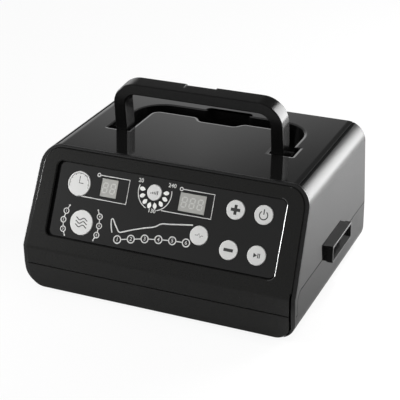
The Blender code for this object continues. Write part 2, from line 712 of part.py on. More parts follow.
def make_lower_housing():
    piece = shell("lower_housing", False)
    root = WALL / 2

    def seats(mesh):
        for x, y in post_places():
            rod(mesh, (x, y, root), (x, y, SIDE_SPLIT - GAP), POST_RADIUS)
        for x, y in power_post_places():
            rod(mesh, (x, y, root), (x, y, POWER_BOARD_HEIGHT - GAP), BOSS_RADIUS, SMALL_SIDES)
        for end in (MANIFOLD_FRONT, MANIFOLD_FRONT + MANIFOLD_LENGTH - MANIFOLD_SEAT):
            box(mesh, (MANIFOLD_X - MANIFOLD_WIDTH / 2, MANIFOLD_X + MANIFOLD_WIDTH / 2),
                (end, end + MANIFOLD_SEAT), (root, MANIFOLD_SEAT_TOP))

    def bores(mesh):
        for x, y in post_places():
            rod(mesh, (x, y, -OVERRUN), (x, y, HEAD_SEAT), POST_BORE)
        for name, end, x, y in foot_places():
            rod(mesh, (x, y, -OVERRUN), (x, y, FOOT_RECESS), FOOT_RADIUS + GAP)

    def screw_bores(mesh):
        for x, y in post_places():
            rod(mesh, (x, y, HEAD_SEAT - OVERRUN), (x, y, SIDE_SPLIT + OVERRUN),
                SCREW_RADIUS + GAP, SMALL_SIDES)

    def inlet_cut(mesh):
        prism(mesh, inlet_outline(GAP), BODY_DEPTH - WALL - OVERRUN, BODY_DEPTH + OVERRUN,
              front_view)

    shape(piece, seats, "UNION")
    shape(piece, bores)
    shape(piece, screw_bores)
    shape(piece, inlet_cut)
    shape(piece, port_cut)


def make_feet():
    for side, end, x, y in foot_places():
        mesh = bmesh.new()
        rim = FOOT_PROUD / 4
        lathe(mesh, [(FOOT_RADIUS - rim, -FOOT_PROUD), (FOOT_RADIUS, rim - FOOT_PROUD),
                     (FOOT_RADIUS, FOOT_RECESS - GAP)], SIDES)
        add("foot_%s_%s" % (end, side), mesh, RUBBER_BLACK, location=(x, y, 0))


def make_housing_screws():
    head = HEAD_SEAT - GAP
    for number, (x, y) in enumerate(post_places(), 1):
        mesh = bmesh.new()
        lathe(mesh, [(SCREW_HEAD_RADIUS, head - SCREW_HEAD_HEIGHT), (SCREW_HEAD_RADIUS, head),
                     (SCREW_RADIUS, head), (SCREW_RADIUS, SIDE_SPLIT + SCREW_REACH)],
              SMALL_SIDES)
        add("housing_screw_%d" % number, mesh, STEEL, location=(x, y, 0))


# Front plates

def make_front_frame():
    mesh = bmesh.new()
    cut = FRAME_EDGE * CHAMFER_SHARE
    steps = [(FRAME_EDGE, FRAME_FRONT), (cut, FRAME_FRONT + cut),
             (0, FRAME_FRONT + FRAME_EDGE), (0, FRAME_REAR)]
    edges = [[front_view(x, z, depth) for x, z in frame_outer(inset)] for inset, depth in steps]
    edges += [[front_view(x, z, depth) for x, z in frame_inner()]
              for depth in (FRAME_REAR, FRAME_FRONT)]
    loft(mesh, list(zip(*edges)))
    follow_front(mesh, BODY_DEPTH)
    add("front_frame", mesh, SATIN_BLACK)


def board_boss_places():
    half = BOARD_HALF_WIDTH - BOARD_MARGIN
    return [(side * half, t) for side in (-1, 1)
            for t in (BOARD_LOW + BOARD_MARGIN, BOARD_HIGH - BOARD_MARGIN)]


def gauge_lamp_places():
    end = GAUGE_START_DEGREES + GAUGE_SWEEP_DEGREES
    return arc(*CAP_PLACES["gauge_button"], GAUGE_LAMP_RADIUS, GAUGE_START_DEGREES, end,
               PETALS - 1)


def mode_lamp_places(middle_degrees):
    return arc(*CAP_PLACES["mode_button"], MODE_LAMP_RADIUS, middle_degrees - MODE_LAMP_DEGREES,
               middle_degrees + MODE_LAMP_DEGREES, 2)


def chamber_lamp_places():
    """A row that rises to the right and levels off at its last lamp."""
    across, up = on_panel(*LAST_CHAMBER_SHARES)
    pitch = PANEL_HALF_WIDTH * CHAMBER_PITCH_SHARE
    rise = PANEL_HEIGHT * CHAMBER_RISE_SHARE
    return [(across - pitch * left, up - rise * (left / (CHAMBERS - 1)) ** 2)
            for left in range(CHAMBERS - 1, -1, -1)]


def window_box(left, digits, grow, low, high, mesh):
    width = DIGIT_PITCH * digits - WINDOW_TRIM
    box(mesh, (left - grow, left + width + grow),
        (WINDOW_LOW - grow, WINDOW_LOW + WINDOW_HEIGHT + grow), (low, high))


def panel_holes(grow, low, high, mesh):
    for name, across, up, radius in CAPS:
        rod(mesh, (across, up, low), (across, up, high), radius + grow, FINE_SIDES)
    for name, left, digits in WINDOWS:
        window_box(left, digits, grow, low, high, mesh)


def make_front_bezel():
    mesh = bmesh.new()
    thickness = PLATE_THICKNESS / math.sin(SLOPE_ANGLE)
    low = FRONT_SPLIT + GAP
    steps = [(PLATE_EDGE, 0), (0, PLATE_EDGE), (0, thickness)]
    loft(mesh, [[front_view(x, z, depth) for x, z in plate_outline(inset, low)]
                for inset, depth in steps])
    follow_front(mesh, BODY_DEPTH)
    piece = add("front_bezel", mesh, SATIN_BLACK)
    through = -PLATE_THICKNESS - OVERRUN

    def recess(cut):
        outline = rounded_rectangle(-PANEL_HALF_WIDTH, PANEL_HALF_WIDTH, PANEL_LOW, PANEL_HIGH,
                                    PANEL_RADIUS)
        prism(cut, outline, -RECESS_DEPTH, OVERRUN)

    def lamp_holes(cut):
        for x, t in (mode_lamp_places(0) + mode_lamp_places(QUARTER_DEGREES * 2)
                     + chamber_lamp_places() + gauge_lamp_places()):
            rod(cut, (x, t, through), (x, t, OVERRUN), LAMP_RADIUS + LAMP_CLEARANCE, SMALL_SIDES)

    def bosses(join):
        for x, t in board_boss_places():
            rod(join, (x, t, BOARD_TOP + GAP), (x, t, -PLATE_THICKNESS + GAP), BOSS_RADIUS,
                SMALL_SIDES * 2)

    def boss_bores(cut):
        for x, t in board_boss_places():
            rod(cut, (x, t, BOARD_TOP), (x, t, BOARD_TOP + SMALL_SCREW_REACH + GAP * 2),
                SMALL_SCREW_RADIUS + GAP, SMALL_SIDES)

    shape(piece, recess, parent=PANEL_FRAME)
    shape(piece, lambda cut: panel_holes(CAP_CLEARANCE, through, OVERRUN, cut),
          parent=PANEL_FRAME)
    shape(piece, lamp_holes, parent=PANEL_FRAME)
    shape(piece, bosses, "UNION", PANEL_FRAME)
    shape(piece, boss_bores, parent=PANEL_FRAME)


def make_front_skirt():
    mesh = bmesh.new()
    steps = [(PLATE_EDGE, 0), (0, PLATE_EDGE), (0, SKIRT_THICKNESS)]
    loft(mesh, [[front_view(x, z, depth) for x, z in skirt_outline(inset)]
                for inset, depth in steps])
    follow_front(mesh, BODY_DEPTH)
    add("front_skirt", mesh, SATIN_BLACK)


# Control panel

def make_overlay():
    mesh = bmesh.new()
    edge = PANEL_HALF_WIDTH - GAP
    outline = rounded_rectangle(-edge, edge, PANEL_LOW + GAP, PANEL_HIGH - GAP,
                                PANEL_RADIUS - GAP)
    prism(mesh, outline, OVERLAY_LOW, OVERLAY_TOP)
    piece = add("control_overlay", mesh, LABEL_FILM, PANEL_FRAME)
    shape(piece, lambda cut: panel_holes(CAP_CLEARANCE, -RECESS_DEPTH - OVERRUN, OVERRUN, cut),
          parent=PANEL_FRAME)


def make_caps():
    for name, across, up, radius in CAPS:
        mesh = bmesh.new()
        flange = radius + CAP_FLANGE
        profile = [(CAP_STEM_RADIUS, STEM_END), (CAP_STEM_RADIUS, FLANGE_TOP - CAP_FLANGE_THICKNESS),
                   (flange, FLANGE_TOP - CAP_FLANGE_THICKNESS), (flange, FLANGE_TOP),
                   (radius, FLANGE_TOP), (radius, CAP_TOP - CAP_EDGE),
                   (radius - CAP_EDGE, CAP_TOP)]
        lathe(mesh, profile, FINE_SIDES)
        add(name, mesh, CAP_GREY, PANEL_FRAME, (across, up, 0))


def make_displays():
    for name, left, digits in WINDOWS:
        mesh = bmesh.new()
        window_box(left, digits, CAP_CLEARANCE - GAP, BOARD_TOP + GAP, OVERLAY_TOP - GAP, mesh)
        add(name, mesh, DISPLAY_GREY, PANEL_FRAME)


def band(points):
    """The outline of a strip that runs through points from left to right."""
    return ([(x, t - GUIDE_HALF_WIDTH) for x, t in points]
            + [(x, t + GUIDE_HALF_WIDTH) for x, t in reversed(points)])


def arc_band(place, radius, start, end, steps):
    return (arc(*place, radius + GUIDE_HALF_WIDTH, start, end, steps)
            + arc(*place, radius - GUIDE_HALF_WIDTH, end, start, steps))


def mode_band(middle_degrees):
    return arc_band(CAP_PLACES["mode_button"], MODE_LAMP_RADIUS,
                    middle_degrees - MODE_LAMP_DEGREES, middle_degrees + MODE_LAMP_DEGREES, 4)


def make_light_guides():
    """One clear moulding for each row of marks: round pipes on a common strip."""
    gauge_band = arc_band(CAP_PLACES["gauge_button"], GAUGE_LAMP_RADIUS, GAUGE_START_DEGREES,
                          GAUGE_START_DEGREES + GAUGE_SWEEP_DEGREES, PETALS)
    chambers = chamber_lamp_places()
    half_turn = QUARTER_DEGREES * 2
    guides = (("mode_light_guide_left", mode_lamp_places(half_turn), mode_band(half_turn)),
              ("mode_light_guide_right", mode_lamp_places(0), mode_band(0)),
              ("chamber_light_guide", chambers, band(chambers)),
              ("gauge_light_guide", gauge_lamp_places(), gauge_band))
    top = OVERLAY_LOW - GAP
    dome = LAMP_RADIUS * LAMP_DOME_SHARE
    foot = BOARD_TOP + GAP
    for name, places, outline in guides:
        mesh = bmesh.new()
        prism(mesh, outline, foot + GAP, foot + GUIDE_THICKNESS)
        piece = add(name, mesh, LAMP_WHITE, PANEL_FRAME)

        def pipes(join):
            for x, t in places:
                lathe(join, [(LAMP_RADIUS, foot), (LAMP_RADIUS, top - dome),
                             (LAMP_RADIUS - dome, top)], SMALL_SIDES, (x, t))

        shape(piece, pipes, "UNION", PANEL_FRAME)


def make_control_board():
    mesh = bmesh.new()
    outline = rounded_rectangle(-BOARD_HALF_WIDTH, BOARD_HALF_WIDTH, BOARD_LOW, BOARD_HIGH,
                                BOARD_MARGIN / 2, 2)
    prism(mesh, outline, BOARD_BACK, BOARD_TOP)
    piece = add("control_board", mesh, BOARD_GREEN, PANEL_FRAME)

    def switches(join):
        top = STEM_END - CAP_TRAVEL - STEM_CLEARANCE
        half = SWITCH_SIZE / 2
        for name, across, up, radius in CAPS:
            box(join, (across - half, across + half), (up - half, up + half),
                (BOARD_TOP - BOARD_THICKNESS / 2, top))

    def screw_holes(cut):
        for x, t in board_boss_places():
            rod(cut, (x, t, BOARD_BACK - OVERRUN), (x, t, BOARD_TOP + OVERRUN),
                SMALL_SCREW_RADIUS + GAP, SMALL_SIDES)

    shape(piece, switches, "UNION", PANEL_FRAME)
    shape(piece, screw_holes, parent=PANEL_FRAME)
    head = BOARD_BACK - GAP
    for number, (x, t) in enumerate(board_boss_places(), 1):
        screw = bmesh.new()
        lathe(screw, [(SMALL_HEAD_RADIUS, head - SMALL_HEAD_HEIGHT), (SMALL_HEAD_RADIUS, head),
                      (SMALL_SCREW_RADIUS, head),
                      (SMALL_SCREW_RADIUS, BOARD_TOP + SMALL_SCREW_REACH)], SMALL_SIDES)
        add("board_screw_%d" % number, screw, STEEL, PANEL_FRAME, (x, t, 0))


# Handle

def make_handle():
    mesh = bmesh.new()
    half = HANDLE_DEPTH / 2
    edge = HANDLE_EDGE
    cut = edge * CHAMFER_SHARE
    steps = [(edge, -half), (cut, cut - half), (0, edge - half),
             (0, half - edge), (cut, half - cut), (edge, half)]
    loft(mesh, [[front_view(x, z, depth) for x, z in handle_outline(inset)]
                for inset, depth in steps])
    handle = add("carry_handle", mesh, SATIN_BLACK, location=(0, PIVOT_BACK, PIVOT_HEIGHT),
                 turn=(HANDLE_LEAN, 0, 0), smooth_below=HANDLE_SHARP_DEGREES)
    inner = HANDLE_HALF_WIDTH - LEG_THICKNESS
    outer = HANDLE_HALF_WIDTH + HUB_BOSS

    def hubs(join):
        for side in (-1, 1):
            rod(join, (side * (inner - GAP), PIVOT_BACK, PIVOT_HEIGHT),
                (side * outer, PIVOT_BACK, PIVOT_HEIGHT), HUB_RADIUS)

    def bores(cut):
        for side in (-1, 1):
            rod(cut, (side * (inner - OVERRUN), PIVOT_BACK, PIVOT_HEIGHT),
                (side * (outer + OVERRUN), PIVOT_BACK, PIVOT_HEIGHT),
                PIN_RADIUS + PIN_CLEARANCE)

    def thumb_notch(cut):
        box(cut, (-NOTCH_HALF_WIDTH, NOTCH_HALF_WIDTH), (0, HANDLE_DEPTH),
            (HANDLE_REACH - NOTCH_DEPTH, HANDLE_REACH + OVERRUN))

    shape(handle, hubs, "UNION")
    shape(handle, bores)
    shape(handle, thumb_notch, parent=handle)


def make_handle_pins():
    for name, side in (("left", -1), ("right", 1)):
        mesh = bmesh.new()
        inner = ISLAND_HALF_WIDTH - WALL - PIN_END
        outer = HINGE_HALF_WIDTH + WALL + GAP
        lathe(mesh, [(PIN_RADIUS, inner), (PIN_RADIUS, outer), (PIN_HEAD_RADIUS, outer),
                     (PIN_HEAD_RADIUS, outer + PIN_HEAD_HEIGHT)], SIDES)
        add("handle_pin_" + name, mesh, STEEL, location=(0, PIVOT_BACK, PIVOT_HEIGHT),
            turn=(0, side * math.radians(QUARTER_DEGREES), 0))


# Hose port

PORT_BLOCK_FRONT = HALF_WIDTH - WALL - TOP_DRAFT / 2 - PORT_FLANGE_THICKNESS - PORT_TAIL


def make_port_collar():
    mesh = bmesh.new()
    outer_x = HALF_WIDTH + PORT_REACH
    flange_outer = PORT_BLOCK_FRONT + PORT_TAIL + PORT_FLANGE_THICKNESS
    flange_inner = PORT_BLOCK_FRONT + PORT_TAIL
    step_x = outer_x - PORT_RIM

    def section(grow, x):
        return [side_view(y, z, x) for y, z in rounded_rectangle(
            PORT_FRONT - grow, PORT_REAR + grow, PORT_LOW - grow, PORT_HIGH + grow, PORT_EDGE, 1)]

    steps = [(-PORT_STEP, PORT_BLOCK_FRONT), (-PORT_STEP, flange_inner),
             (PORT_FLANGE, flange_inner), (PORT_FLANGE, flange_outer),
             (-PORT_STEP, flange_outer), (-PORT_STEP, step_x), (0, step_x),
             (0, outer_x - PORT_EDGE / 2), (-PORT_EDGE / 2, outer_x),
             (-PORT_WALL, outer_x), (-PORT_WALL, PORT_BLOCK_FRONT)]
    rings = [[mesh.verts.new(point) for point in section(grow, x)] for grow, x in steps]
    count = len(rings[0])
    for ring, following in zip(rings, rings[1:] + rings[:1]):
        for index in range(count):
            beside = (index + 1) % count
            mesh.faces.new((ring[index], ring[beside], following[beside], following[index]))
    add("port_collar", mesh, SATIN_BLACK)


def nozzle_places():
    middle = (PORT_FRONT + PORT_REAR) / 2
    return [middle + NOZZLE_PITCH * (index - (CHAMBERS - 1) / 2) for index in range(CHAMBERS)]


NOZZLE_HEIGHT = (PORT_LOW + PORT_HIGH) / 2
BLOCK_BACK = PORT_BLOCK_FRONT - GAP - PORT_BLOCK_THICKNESS
BARB_END = BLOCK_BACK - BARB_REACH


def make_port_block():
    mesh = bmesh.new()
    front = PORT_BLOCK_FRONT - GAP
    box(mesh, (BLOCK_BACK, front), (PORT_FRONT, PORT_REAR), (PORT_LOW, PORT_HIGH))
    piece = add("port_block", mesh, PART_BLACK)

    def nozzles(join):
        for y in nozzle_places():
            rod(join, (front - GAP, y, NOZZLE_HEIGHT), (front + NOZZLE_REACH, y, NOZZLE_HEIGHT),
                NOZZLE_RADIUS, SMALL_SIDES * 2)
            rod(join, (BARB_END, y, NOZZLE_HEIGHT), (BLOCK_BACK + GAP, y, NOZZLE_HEIGHT),
                BARB_RADIUS, SMALL_SIDES)

    def bores(cut):
        for y in nozzle_places():
            rod(cut, (BARB_END - OVERRUN, y, NOZZLE_HEIGHT),
                (front + NOZZLE_REACH + OVERRUN, y, NOZZLE_HEIGHT), NOZZLE_BORE, SMALL_SIDES)

    shape(piece, nozzles, "UNION")
    shape(piece, bores)


# Mains inlet

def make_inlet():
    mesh = bmesh.new()
    face = BODY_DEPTH - INLET_RECESS
    prism(mesh, inlet_outline(0), face - INLET_DEPTH, face, front_view)
    piece = add("mains_inlet", mesh, PART_BLACK)
    flange_back = BODY_DEPTH - WALL - GAP
    socket_floor = face - INLET_SOCKET_DEPTH

    def flange(join):
        prism(join, inlet_outline(INLET_FLANGE), flange_back - INLET_FLANGE_THICKNESS,
              flange_back, front_view)

    def socket(cut):
        prism(cut, inlet_outline(-INLET_WALL), socket_floor, face + OVERRUN, front_view)

    def pins(join):
        for side in (-1, 1):
            x = INLET_X + side * INLET_PIN_SPACING / 2
            rod(join, (x, socket_floor - GAP, pin_height),
                (x, socket_floor + INLET_PIN_REACH, pin_height), INLET_PIN_RADIUS, SMALL_SIDES)

    pin_height = INLET_LOW + INLET_HEIGHT / 2
    shape(piece, flange, "UNION")
    shape(piece, socket)
    shape(piece, pins, "UNION")


# Pump, power supply and valves

PUMP_LOW = WALL + GAP + MOUNT_HEIGHT + GAP


def make_pump():
    for number, (x, y) in enumerate(pump_mount_places(), 1):
        mount = bmesh.new()
        lathe(mount, [(MOUNT_RADIUS, WALL + GAP), (MOUNT_RADIUS, WALL + GAP + MOUNT_HEIGHT)],
              SMALL_SIDES * 2)
        add("pump_mount_%d" % number, mount, RUBBER_BLACK, location=(x, y, 0))
    body = bmesh.new()
    left, right = PUMP_X - PUMP_LENGTH / 2, PUMP_X + PUMP_LENGTH / 2
    outline = rounded_rectangle(PUMP_Y - PUMP_WIDTH / 2, PUMP_Y + PUMP_WIDTH / 2, PUMP_LOW,
                                PUMP_LOW + PUMP_HEIGHT, PUMP_EDGE, 2)
    prism(body, outline, left, right, side_view)
    add("pump_body", body, CAST_METAL)
    middle = PUMP_LOW + PUMP_HEIGHT / 2
    heads = []
    for name, side, face in (("left", -1, left - GAP), ("right", 1, right + GAP)):
        head = bmesh.new()
        rod(head, (face, PUMP_Y, middle), (face + side * HEAD_THICKNESS, PUMP_Y, middle),
            HEAD_RADIUS, FINE_SIDES)
        heads.append(add("pump_head_" + name, head, PART_BLACK))

    def spout(join):
        rod(join, (spout_x, PUMP_Y - HEAD_RADIUS / 2, middle),
            (spout_x, spout_front, middle), HEAD_SPOUT_RADIUS, SMALL_SIDES * 2)

    spout_x = right + GAP + HEAD_THICKNESS / 2
    spout_front = PUMP_Y - HEAD_RADIUS - HEAD_SPOUT_REACH
    shape(heads[1], spout, "UNION")
    port_x = MANIFOLD_X
    port_z = MANIFOLD_SEAT_TOP + GAP + MANIFOLD_HEIGHT / 2
    turn_y = MANIFOLD_FRONT - (port_x - spout_x) * TUBE_TURN_SHARE
    route = [(spout_x, spout_front - GAP, middle), (spout_x, spout_front - TUBE_LEAD, middle),
             (spout_x + (port_x - spout_x) / 4, turn_y, (middle + port_z) / 2),
             (port_x - (port_x - spout_x) / 4, turn_y, port_z),
             (port_x, MANIFOLD_FRONT - TUBE_LEAD, port_z),
             (port_x, MANIFOLD_FRONT - GAP, port_z)]
    add_tubes("supply_tube", [route])


def add_tubes(name, routes):
    """Hoses that follow a smooth curve through the points of their routes."""
    curve = bpy.data.curves.new(name, "CURVE")
    curve.dimensions = "3D"
    curve.bevel_depth = TUBE_RADIUS
    curve.bevel_resolution = 2
    curve.use_fill_caps = True
    for route in routes:
        points = smooth_route([Vector(point) for point in route])
        spline = curve.splines.new("POLY")
        spline.points.add(len(points) - 1)
        for target, point in zip(spline.points, points):
            target.co = (*point, 1.0)
    path = bpy.data.objects.new(name + "_path", curve)
    bpy.context.collection.objects.link(path)
    bpy.context.view_layer.update()
    swept = path.evaluated_get(bpy.context.evaluated_depsgraph_get()).to_mesh()
    mesh = bmesh.new()
    mesh.from_mesh(swept)
    bmesh.ops.remove_doubles(mesh, verts=mesh.verts, dist=OVERRUN * DOUBLE_SHARE)
    bpy.data.objects.remove(path, do_unlink=True)
    return add(name, mesh, TUBE_CLEAR)


def smooth_route(route):
    """Straight first and last lengths, with a smooth curve between them."""
    points = [route[0]]
    for before, start, end, after in zip(route, route[1:], route[2:], route[3:]):
        leaving, arriving = (end - before) / 2, (after - start) / 2
        for step in range(TUBE_STEPS):
            along = step / TUBE_STEPS
            rise = along * along * (3 - 2 * along)
            points.append(start + (end - start) * rise
                          + leaving * along * (1 - along) ** 2
                          - arriving * along ** 2 * (1 - along))
    return points + route[-2:]


def make_valves():
    low = MANIFOLD_SEAT_TOP + GAP
    high = low + MANIFOLD_HEIGHT
    right = MANIFOLD_X + MANIFOLD_WIDTH / 2
    mesh = bmesh.new()
    box(mesh, (MANIFOLD_X - MANIFOLD_WIDTH / 2, right),
        (MANIFOLD_FRONT, MANIFOLD_FRONT + MANIFOLD_LENGTH), (low, high))
    add("valve_manifold", mesh, WHITE_PLASTIC)
    routes = []
    outlet = low + MANIFOLD_HEIGHT / 2
    reach = BARB_END - right
    for number, nozzle in enumerate(nozzle_places(), 1):
        y = MANIFOLD_FRONT + VALVE_PITCH * number - VALVE_PITCH / 2
        valve = bmesh.new()
        lathe(valve, [(VALVE_RADIUS, high + GAP), (VALVE_RADIUS, high + GAP + VALVE_HEIGHT)],
              SMALL_SIDES * 2)
        add("solenoid_valve_%d" % number, valve, STEEL, location=(MANIFOLD_X, y, 0))
        routes.append([(right + GAP, y, outlet), (right + reach / 4, y, outlet),
                       (right + reach / 2, (y + nozzle) / 2, (outlet + NOZZLE_HEIGHT) / 2),
                       (BARB_END - reach / 4, nozzle, NOZZLE_HEIGHT),
                       (BARB_END - GAP, nozzle, NOZZLE_HEIGHT)])
    hoses = add_tubes("outlet_hoses", routes)

    def comb(join):
        middles = [route[2] for route in routes]
        x, first, height = middles[0]
        last = middles[-1][1]
        box(join, (x - COMB_THICKNESS / 2, x + COMB_THICKNESS / 2),
            (first - COMB_MARGIN, last + COMB_MARGIN), (height - COMB_MARGIN, height + COMB_MARGIN))

    shape(hoses, comb, "UNION")


def make_power_supply():
    low = POWER_BOARD_HEIGHT
    top = low + BOARD_THICKNESS
    mesh = bmesh.new()
    box(mesh, (POWER_BOARD_LEFT, POWER_BOARD_RIGHT), (POWER_BOARD_FRONT, POWER_BOARD_BACK),
        (low, top))
    add("power_board", mesh, BOARD_GREEN)
    middle_x = POWER_BOARD_LEFT + BOARD_MARGIN + TRANSFORMER_LENGTH / 2
    middle_y = (POWER_BOARD_FRONT + POWER_BOARD_BACK) / 2
    core = bmesh.new()
    base = top + GAP
    box(core, (middle_x - CORE_BAND, middle_x + CORE_BAND),
        (middle_y - TRANSFORMER_WIDTH / 2, middle_y + TRANSFORMER_WIDTH / 2),
        (base, base + TRANSFORMER_HEIGHT))
    piece = add("mains_transformer", core, PART_BLACK)

    def winding(join):
        box(join, (middle_x - TRANSFORMER_LENGTH / 2, middle_x + TRANSFORMER_LENGTH / 2),
            (middle_y - TRANSFORMER_WIDTH / 2 + CORE_STEP,
             middle_y + TRANSFORMER_WIDTH / 2 - CORE_STEP),
            (base, base + TRANSFORMER_HEIGHT - CORE_STEP))

    shape(piece, winding, "UNION")
    can = bmesh.new()
    rim = CAPACITOR_RADIUS / 8
    can_x = POWER_BOARD_RIGHT - BOARD_MARGIN - CAPACITOR_RADIUS
    lathe(can, [(CAPACITOR_RADIUS, base), (CAPACITOR_RADIUS, base + CAPACITOR_HEIGHT - rim),
                (CAPACITOR_RADIUS - rim, base + CAPACITOR_HEIGHT)], SIDES, (can_x, middle_y))
    add("smoothing_capacitor", can, STEEL)


make_upper_housing()
make_lower_housing()
make_feet()
make_housing_screws()
make_front_frame()
make_front_bezel()
make_front_skirt()
make_overlay()
make_caps()
make_displays()
make_light_guides()
make_control_board()
make_handle()
make_handle_pins()
make_port_collar()
make_port_block()
make_inlet()
make_pump()
make_valves()
make_power_supply()
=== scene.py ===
# Looks of the compression therapy pump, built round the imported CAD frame.
# Pieces are modelled in millimetres in the body's own frame (x across, y back from the crease of
# the front, z up) or in the panel's frame (x across, y up the slope, z out of the fascia).

import json
import math

import bmesh
import bpy
from mathutils import Matrix, Vector


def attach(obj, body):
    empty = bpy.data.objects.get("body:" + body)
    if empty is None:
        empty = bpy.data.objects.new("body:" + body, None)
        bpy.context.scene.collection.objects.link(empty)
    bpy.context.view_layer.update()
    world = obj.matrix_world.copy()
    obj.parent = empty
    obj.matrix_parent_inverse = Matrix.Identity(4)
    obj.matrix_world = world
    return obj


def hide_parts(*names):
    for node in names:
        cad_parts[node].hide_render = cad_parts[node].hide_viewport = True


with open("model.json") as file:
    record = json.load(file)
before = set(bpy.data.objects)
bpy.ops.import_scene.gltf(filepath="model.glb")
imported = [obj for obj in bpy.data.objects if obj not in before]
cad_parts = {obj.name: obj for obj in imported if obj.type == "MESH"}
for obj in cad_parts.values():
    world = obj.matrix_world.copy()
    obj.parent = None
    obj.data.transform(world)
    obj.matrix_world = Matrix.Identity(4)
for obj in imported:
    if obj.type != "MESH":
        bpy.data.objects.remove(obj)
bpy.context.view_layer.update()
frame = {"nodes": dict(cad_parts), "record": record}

mm = 0.001
near, close = 0.01, 0.05    # how far off an edge or a face may lie in a test on its place
body = {
    "halfWidth": 125.0, "depth": 189.4, "height": 119.7, "wall": 2.2,
    "sideSplit": 43.2, "topDraft": 2.1, "topRadius": 17.3, "bottomRadius": 17.5,
    "rearEdge": 0.8, "lowEdge": 0.4, "front": 3.5, "cavityLead": 1.0,
    "crease": 39.5, "frontSplit": 23.5, "slopeSetback": 43.2, "skirtSetback": 2.8,
    "gap": 0.3, "splitGap": 0.7,
}
over = 2.0    # how far a cutter reaches past the shape
originShift = Vector((-4.7, -94.7, 3.0)) * mm
slopeAngle = math.atan2(body["height"] - body["crease"], body["slopeSetback"])
bodyPlace = Matrix.Translation(originShift) @ Matrix.Scale(mm, 4)
panelPlace = (bodyPlace @ Matrix.Translation((0, 0, body["crease"]))
              @ Matrix.Rotation(slopeAngle, 4, "X"))
viewTurns = {
    "top": Matrix.Identity(4),
    "front": Matrix(((1, 0, 0, 0), (0, 0, 1, 0), (0, 1, 0, 0), (0, 0, 0, 1))),
    "side": Matrix(((0, 0, 1, 0), (1, 0, 0, 0), (0, 1, 0, 0), (0, 0, 0, 1))),
}
quarter = math.pi / 2


# Shaping helpers

def block(corners, low, high, view="top", segments=10):
    # corners are (a, b) or (a, b, reach of the rounding along both edges)
    bm = bmesh.new()
    verts = [bm.verts.new((corner[0], corner[1], low)) for corner in corners]
    bm.faces.new(verts)
    radii = [corner[2] if len(corner) > 2 else 0 for corner in corners]
    for radius in sorted(set(radii)):
        if radius:
            bmesh.ops.bevel(bm, geom=[v for v, r in zip(verts, radii) if r == radius],
                            offset=radius, segments=segments, profile=0.5, affect="VERTICES",
                            material=-1, clamp_overlap=False)
    made = bmesh.ops.extrude_face_region(bm, geom=bm.faces[:])
    moved = [item for item in made["geom"] if isinstance(item, bmesh.types.BMVert)]
    bmesh.ops.translate(bm, vec=(0, 0, high - low), verts=moved)
    bmesh.ops.transform(bm, matrix=viewTurns[view], verts=bm.verts)
    bmesh.ops.recalc_face_normals(bm, faces=bm.faces)
    return bm


def cornersOf(left, right, low, high, radius=0.0):
    return [(left, low, radius), (right, low, radius), (right, high, radius), (left, high, radius)]


def boxOf(xRange, yRange, zRange):
    return block(cornersOf(*xRange, *yRange), *zRange)


def roundedBox(left, right, low, high, radius, depths, view="top", segments=8):
    return block(cornersOf(left, right, low, high, radius), *depths, view, segments)


def spun(profile, steps, place=None):
    # profile runs (radius, height) from axis to axis
    bm = bmesh.new()
    verts = [bm.verts.new((radius, 0, height)) for radius, height in profile]
    edges = [bm.edges.new(pair) for pair in zip(verts, verts[1:])]
    bmesh.ops.spin(bm, geom=verts + edges, axis=(0, 0, 1), cent=(0, 0, 0), angle=math.tau,
                   steps=steps, use_merge=True, use_duplicate=False)
    bmesh.ops.remove_doubles(bm, verts=bm.verts, dist=0.0005)
    bmesh.ops.recalc_face_normals(bm, faces=bm.faces)
    if place is not None:
        bmesh.ops.transform(bm, matrix=place, verts=bm.verts)
    return bm


def rod(start, end, radius, steps=32):
    start, end = Vector(start), Vector(end)
    along = end - start
    turn = along.to_track_quat("Z", "Y").to_matrix().to_4x4()
    place = Matrix.Translation((start + end) / 2) @ turn
    bm = bmesh.new()
    bmesh.ops.create_cone(bm, cap_ends=True, segments=steps, radius1=radius, radius2=radius,
                          depth=along.length, matrix=place)
    return bm


def addTo(bm, *others):
    # puts other shapes into the same mesh, without joining their surfaces
    for other in others:
        data = bpy.data.meshes.new("part")
        other.to_mesh(data)
        other.free()
        bm.from_mesh(data)
        bpy.data.meshes.remove(data)
    return bm


def linked(name, data):
    thing = bpy.data.objects.new(name, data)
    bpy.context.collection.objects.link(thing)
    return thing


def looseObject(bm, name):
    data = bpy.data.meshes.new(name)
    bm.to_mesh(data)
    bm.free()
    return linked(name, data)


def evaluated(thing):
    # the mesh of an object as its modifiers or its curve make it
    graph = bpy.context.evaluated_depsgraph_get()
    data = bpy.data.meshes.new_from_object(thing.evaluated_get(graph))
    bm = bmesh.new()
    bm.from_mesh(data)
    bpy.data.meshes.remove(data)
    return bm


def carve(bm, cutter, operation="DIFFERENCE"):
    base, tool = looseObject(bm, "base"), looseObject(cutter, "tool")
    modifier = base.modifiers.new("carve", "BOOLEAN")
    modifier.operation, modifier.solver, modifier.object = operation, "EXACT", tool
    carved = evaluated(base)
    for thing in (base, tool):
        data = thing.data
        bpy.data.objects.remove(thing)
        bpy.data.meshes.remove(data)
    return carved


def tidyMesh(bm, flatAngle=0.3):
    bmesh.ops.remove_doubles(bm, verts=bm.verts, dist=0.002)
    bmesh.ops.dissolve_degenerate(bm, dist=0.001, edges=bm.edges)
    bmesh.ops.dissolve_limit(bm, angle_limit=math.radians(flatAngle), verts=bm.verts,
                             edges=bm.edges)


